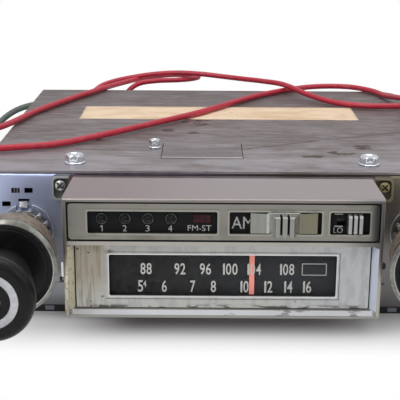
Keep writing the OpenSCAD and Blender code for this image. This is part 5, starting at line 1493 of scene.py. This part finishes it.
@dataclass
class TapeDoor:
    """The hinged door with its dial, pointer and printed figures."""

    print_y: float = -103.06

    def figures(self) -> None:
        """Prints the two rows of figures and the empty box on the dial."""
        upper = [("88", -27.3, 4.0), ("92", -15.2, 3.9), ("96", -6.1, 4.0), ("100", 2.7, 5.3), ("104", 11.25, 4.9),
                 ("108", 23.0, 5.15)]
        lower = [("5", -29.35, 1.85), ("6", -20.8, 1.8), ("7", -10.6, 1.75), ("8", -3.2, 1.85), ("10", 7.9, 3.0),
                 ("12", 16.45, 3.0), ("14", 23.6, 3.05), ("16", 30.35, 3.05)]
        marks = [Mark(text, x, 25.8, 4.25, width) for text, x, width in upper]
        marks += [Mark(text, x, 19.15, 4.45, width) for text, x, width in lower]
        marks.append(Mark("4", -27.8, 20.05, 2.4, 1.1))
        low, high, line = (28.3, 23.6), (37.1, 28.1), 0.26
        y0, y1 = self.print_y - 0.03, self.print_y
        box = [bar((low[0], y0, z), (high[0], y1, z + line)) for z in (low[1], high[1] - line)]
        box += [bar((x, y0, low[1]), (x + line, y1, high[1])) for x in (low[0], high[0] - line)]
        printed("dial_figures_print", marks, self.print_y, Finishes.FIGURE, "tape_door", 0.012, box)

    def build(self) -> None:
        """Makes and dresses the door's pieces."""
        refined("tape_door", Finishes.DOOR, 0.14 * MM, 3)
        dress(Finishes.GLASS, "dial_glass")
        dress(Finishes.DIAL, "dial_backplate")
        dress(Finishes.POINTER, "dial_pointer")
        dress(Finishes.STEEL, "door_pin", "door_spring")
        self.figures()


# ---------------------------------------------------------------- controls


@dataclass
class Controls:
    """Both stacks of knobs with their nuts, plates, shafts and blocks."""

    knob_y: float = -153.5

    def around(self, profile: Profile, side: int, y: float, steps: int, closed: bool = False) -> bmesh.types.BMesh:
        """A turned shape on the shaft of one side.

        Args:
            profile: Points as (radius, distance behind y) in millimetres.
            side: -1 for the left shaft and 1 for the right one.
            y: Where the distance is 0, in millimetres.
            steps: Number of faces round it.
            closed: Whether the outline returns to its first point.

        Returns:
            The mesh.
        """
        return turned(profile, (side * SHAFT_X, y, SHAFT_Z), steps, closed)

    def knob(self, side: int) -> bmesh.types.BMesh:
        """A front knob: dished face with a ring groove, rounded edge, flared side and a rear hub."""
        profile = [(0, 0.28), (4.15, 0.28), (4.4, 0.05), (4.6, 0), (6.4, 0), (6.6, 0.2), (6.6, 0.6), (9.2, 0.6),
                   (9.2, 0.2), (9.4, 0), *arc((11.1, 3.0), 3.0, -90, 0, 10), (14.1, 4.4), (13.9, 5.0), (12.6, 10.8),
                   (11.2, 16.4), (10.1, 21.0), (9.9, 22.0), (6.0, 22.0), (6.0, 25.9), (2.02, 25.9), (2.02, 10), (0, 10)]
        return self.around(profile, side, self.knob_y, 112)

    def inlay(self, side: int) -> bmesh.types.BMesh:
        """The bright ring set in a knob's face, slightly dished."""
        profile = [(6.62, 0.6), (6.62, 0.16), (6.75, 0.06), (7.2, 0.16), (7.9, 0.24), (8.6, 0.16), (9.05, 0.06),
                   (9.18, 0.16), (9.18, 0.6)]
        return self.around(profile, side, self.knob_y, 112, True)

    def centre_ring(self, side: int) -> bmesh.types.BMesh:
        """The thin worn ring in the middle of a knob's face."""
        profile = [(2.9, 0.27), (2.95, 0.12), (3.25, 0.08), (3.5, 0.12), (3.55, 0.27)]
        return self.around(profile, side, self.knob_y, 64, True)

    def ring_face(self, side: int) -> bmesh.types.BMesh:
        """The black face that fills a rear ring's dish."""
        profile = [(3.05, 1.15), (3.05, 0.82), (6.0, 0.86), (9.5, 0.72), (13.0, 0.62), (13.5, 0.68), (13.75, 0.85),
                   (13.78, 1.01), (9.2, 1.01), (6.0, 1.39)]
        return self.around(profile, side, RING_Y, 96, True)

    def build(self) -> None:
        """Makes and dresses both stacks."""
        for side, inner, outer in ((-1, "volume", "tone"), (1, "tuning", "balance")):
            settle(mesh_object(f"{inner}_knob_form", self.knob(side)), Finishes.KNOB, inner, [f"{inner}_knob"])
            settle(mesh_object(f"{inner}_inlay_form", self.inlay(side)), Finishes.INLAY, inner, [f"{inner}_inlay"])
            settle(mesh_object(f"{inner}_centre_ring", self.centre_ring(side)), Finishes.INLAY, inner)
            settle(mesh_object(f"{outer}_ring_face", self.ring_face(side)), Finishes.KNOB, outer)
            refined(f"{outer}_ring", Finishes.RING, 0.12 * MM)
        refined("bushing_nuts", Finishes.NUT, 0.25 * MM, 3)
        refined("shaft_plates", Finishes.FRONT, 0.15 * MM)
        dress(Finishes.BRASS, "volume_shaft", "tone_sleeve", "tuning_shaft", "balance_sleeve")
        dress(Finishes.PLATED, "volume_control", "tuner_box")
        dress(Finishes.NYLON, "program_plunger")
        dress(Finishes.BLACK, "program_switch")


# ---------------------------------------------------------------- inside


@dataclass
class Inside:
    """The tape transport and the circuit board, seen through slots and the open door."""

    steel: tuple = ("capstan", "tape_head", "solenoid_plunger")
    plated: tuple = ("deck_plate", "guide_rails", "head_bracket", "motor")

    def build(self) -> None:
        """Dresses the inner nodes."""
        dress(Finishes.STEEL, *self.steel)
        dress(Finishes.PLATED, *self.plated)
        dress(Finishes.FLYWHEEL, "flywheel")
        dress(Finishes.BRONZE, "capstan_bearing", "motor_pulley")
        dress(Finishes.RUBBER, "drive_belt")
        dress(Finishes.BLACK, "cartridge_switch")
        dress(Finishes.NYLON, "program_cam")
        dress(Finishes.COIL, "solenoid")
        dress(Finishes.BOARD, "main_board")


def main() -> None:
    """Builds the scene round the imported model."""
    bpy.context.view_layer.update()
    studio = Studio()
    studio.place_camera()
    Leads().build()
    for part in (Case(), Nosepiece(), TapeDoor(), Controls(), Inside()):
        LOG.info("building %s", type(part).__name__)
        part.build()
    studio.light()
    studio.lay_floor()


if __name__ == "__main__":
    logging.basicConfig(level=logging.INFO, format="%(name)s %(message)s")
    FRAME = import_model()
    main()
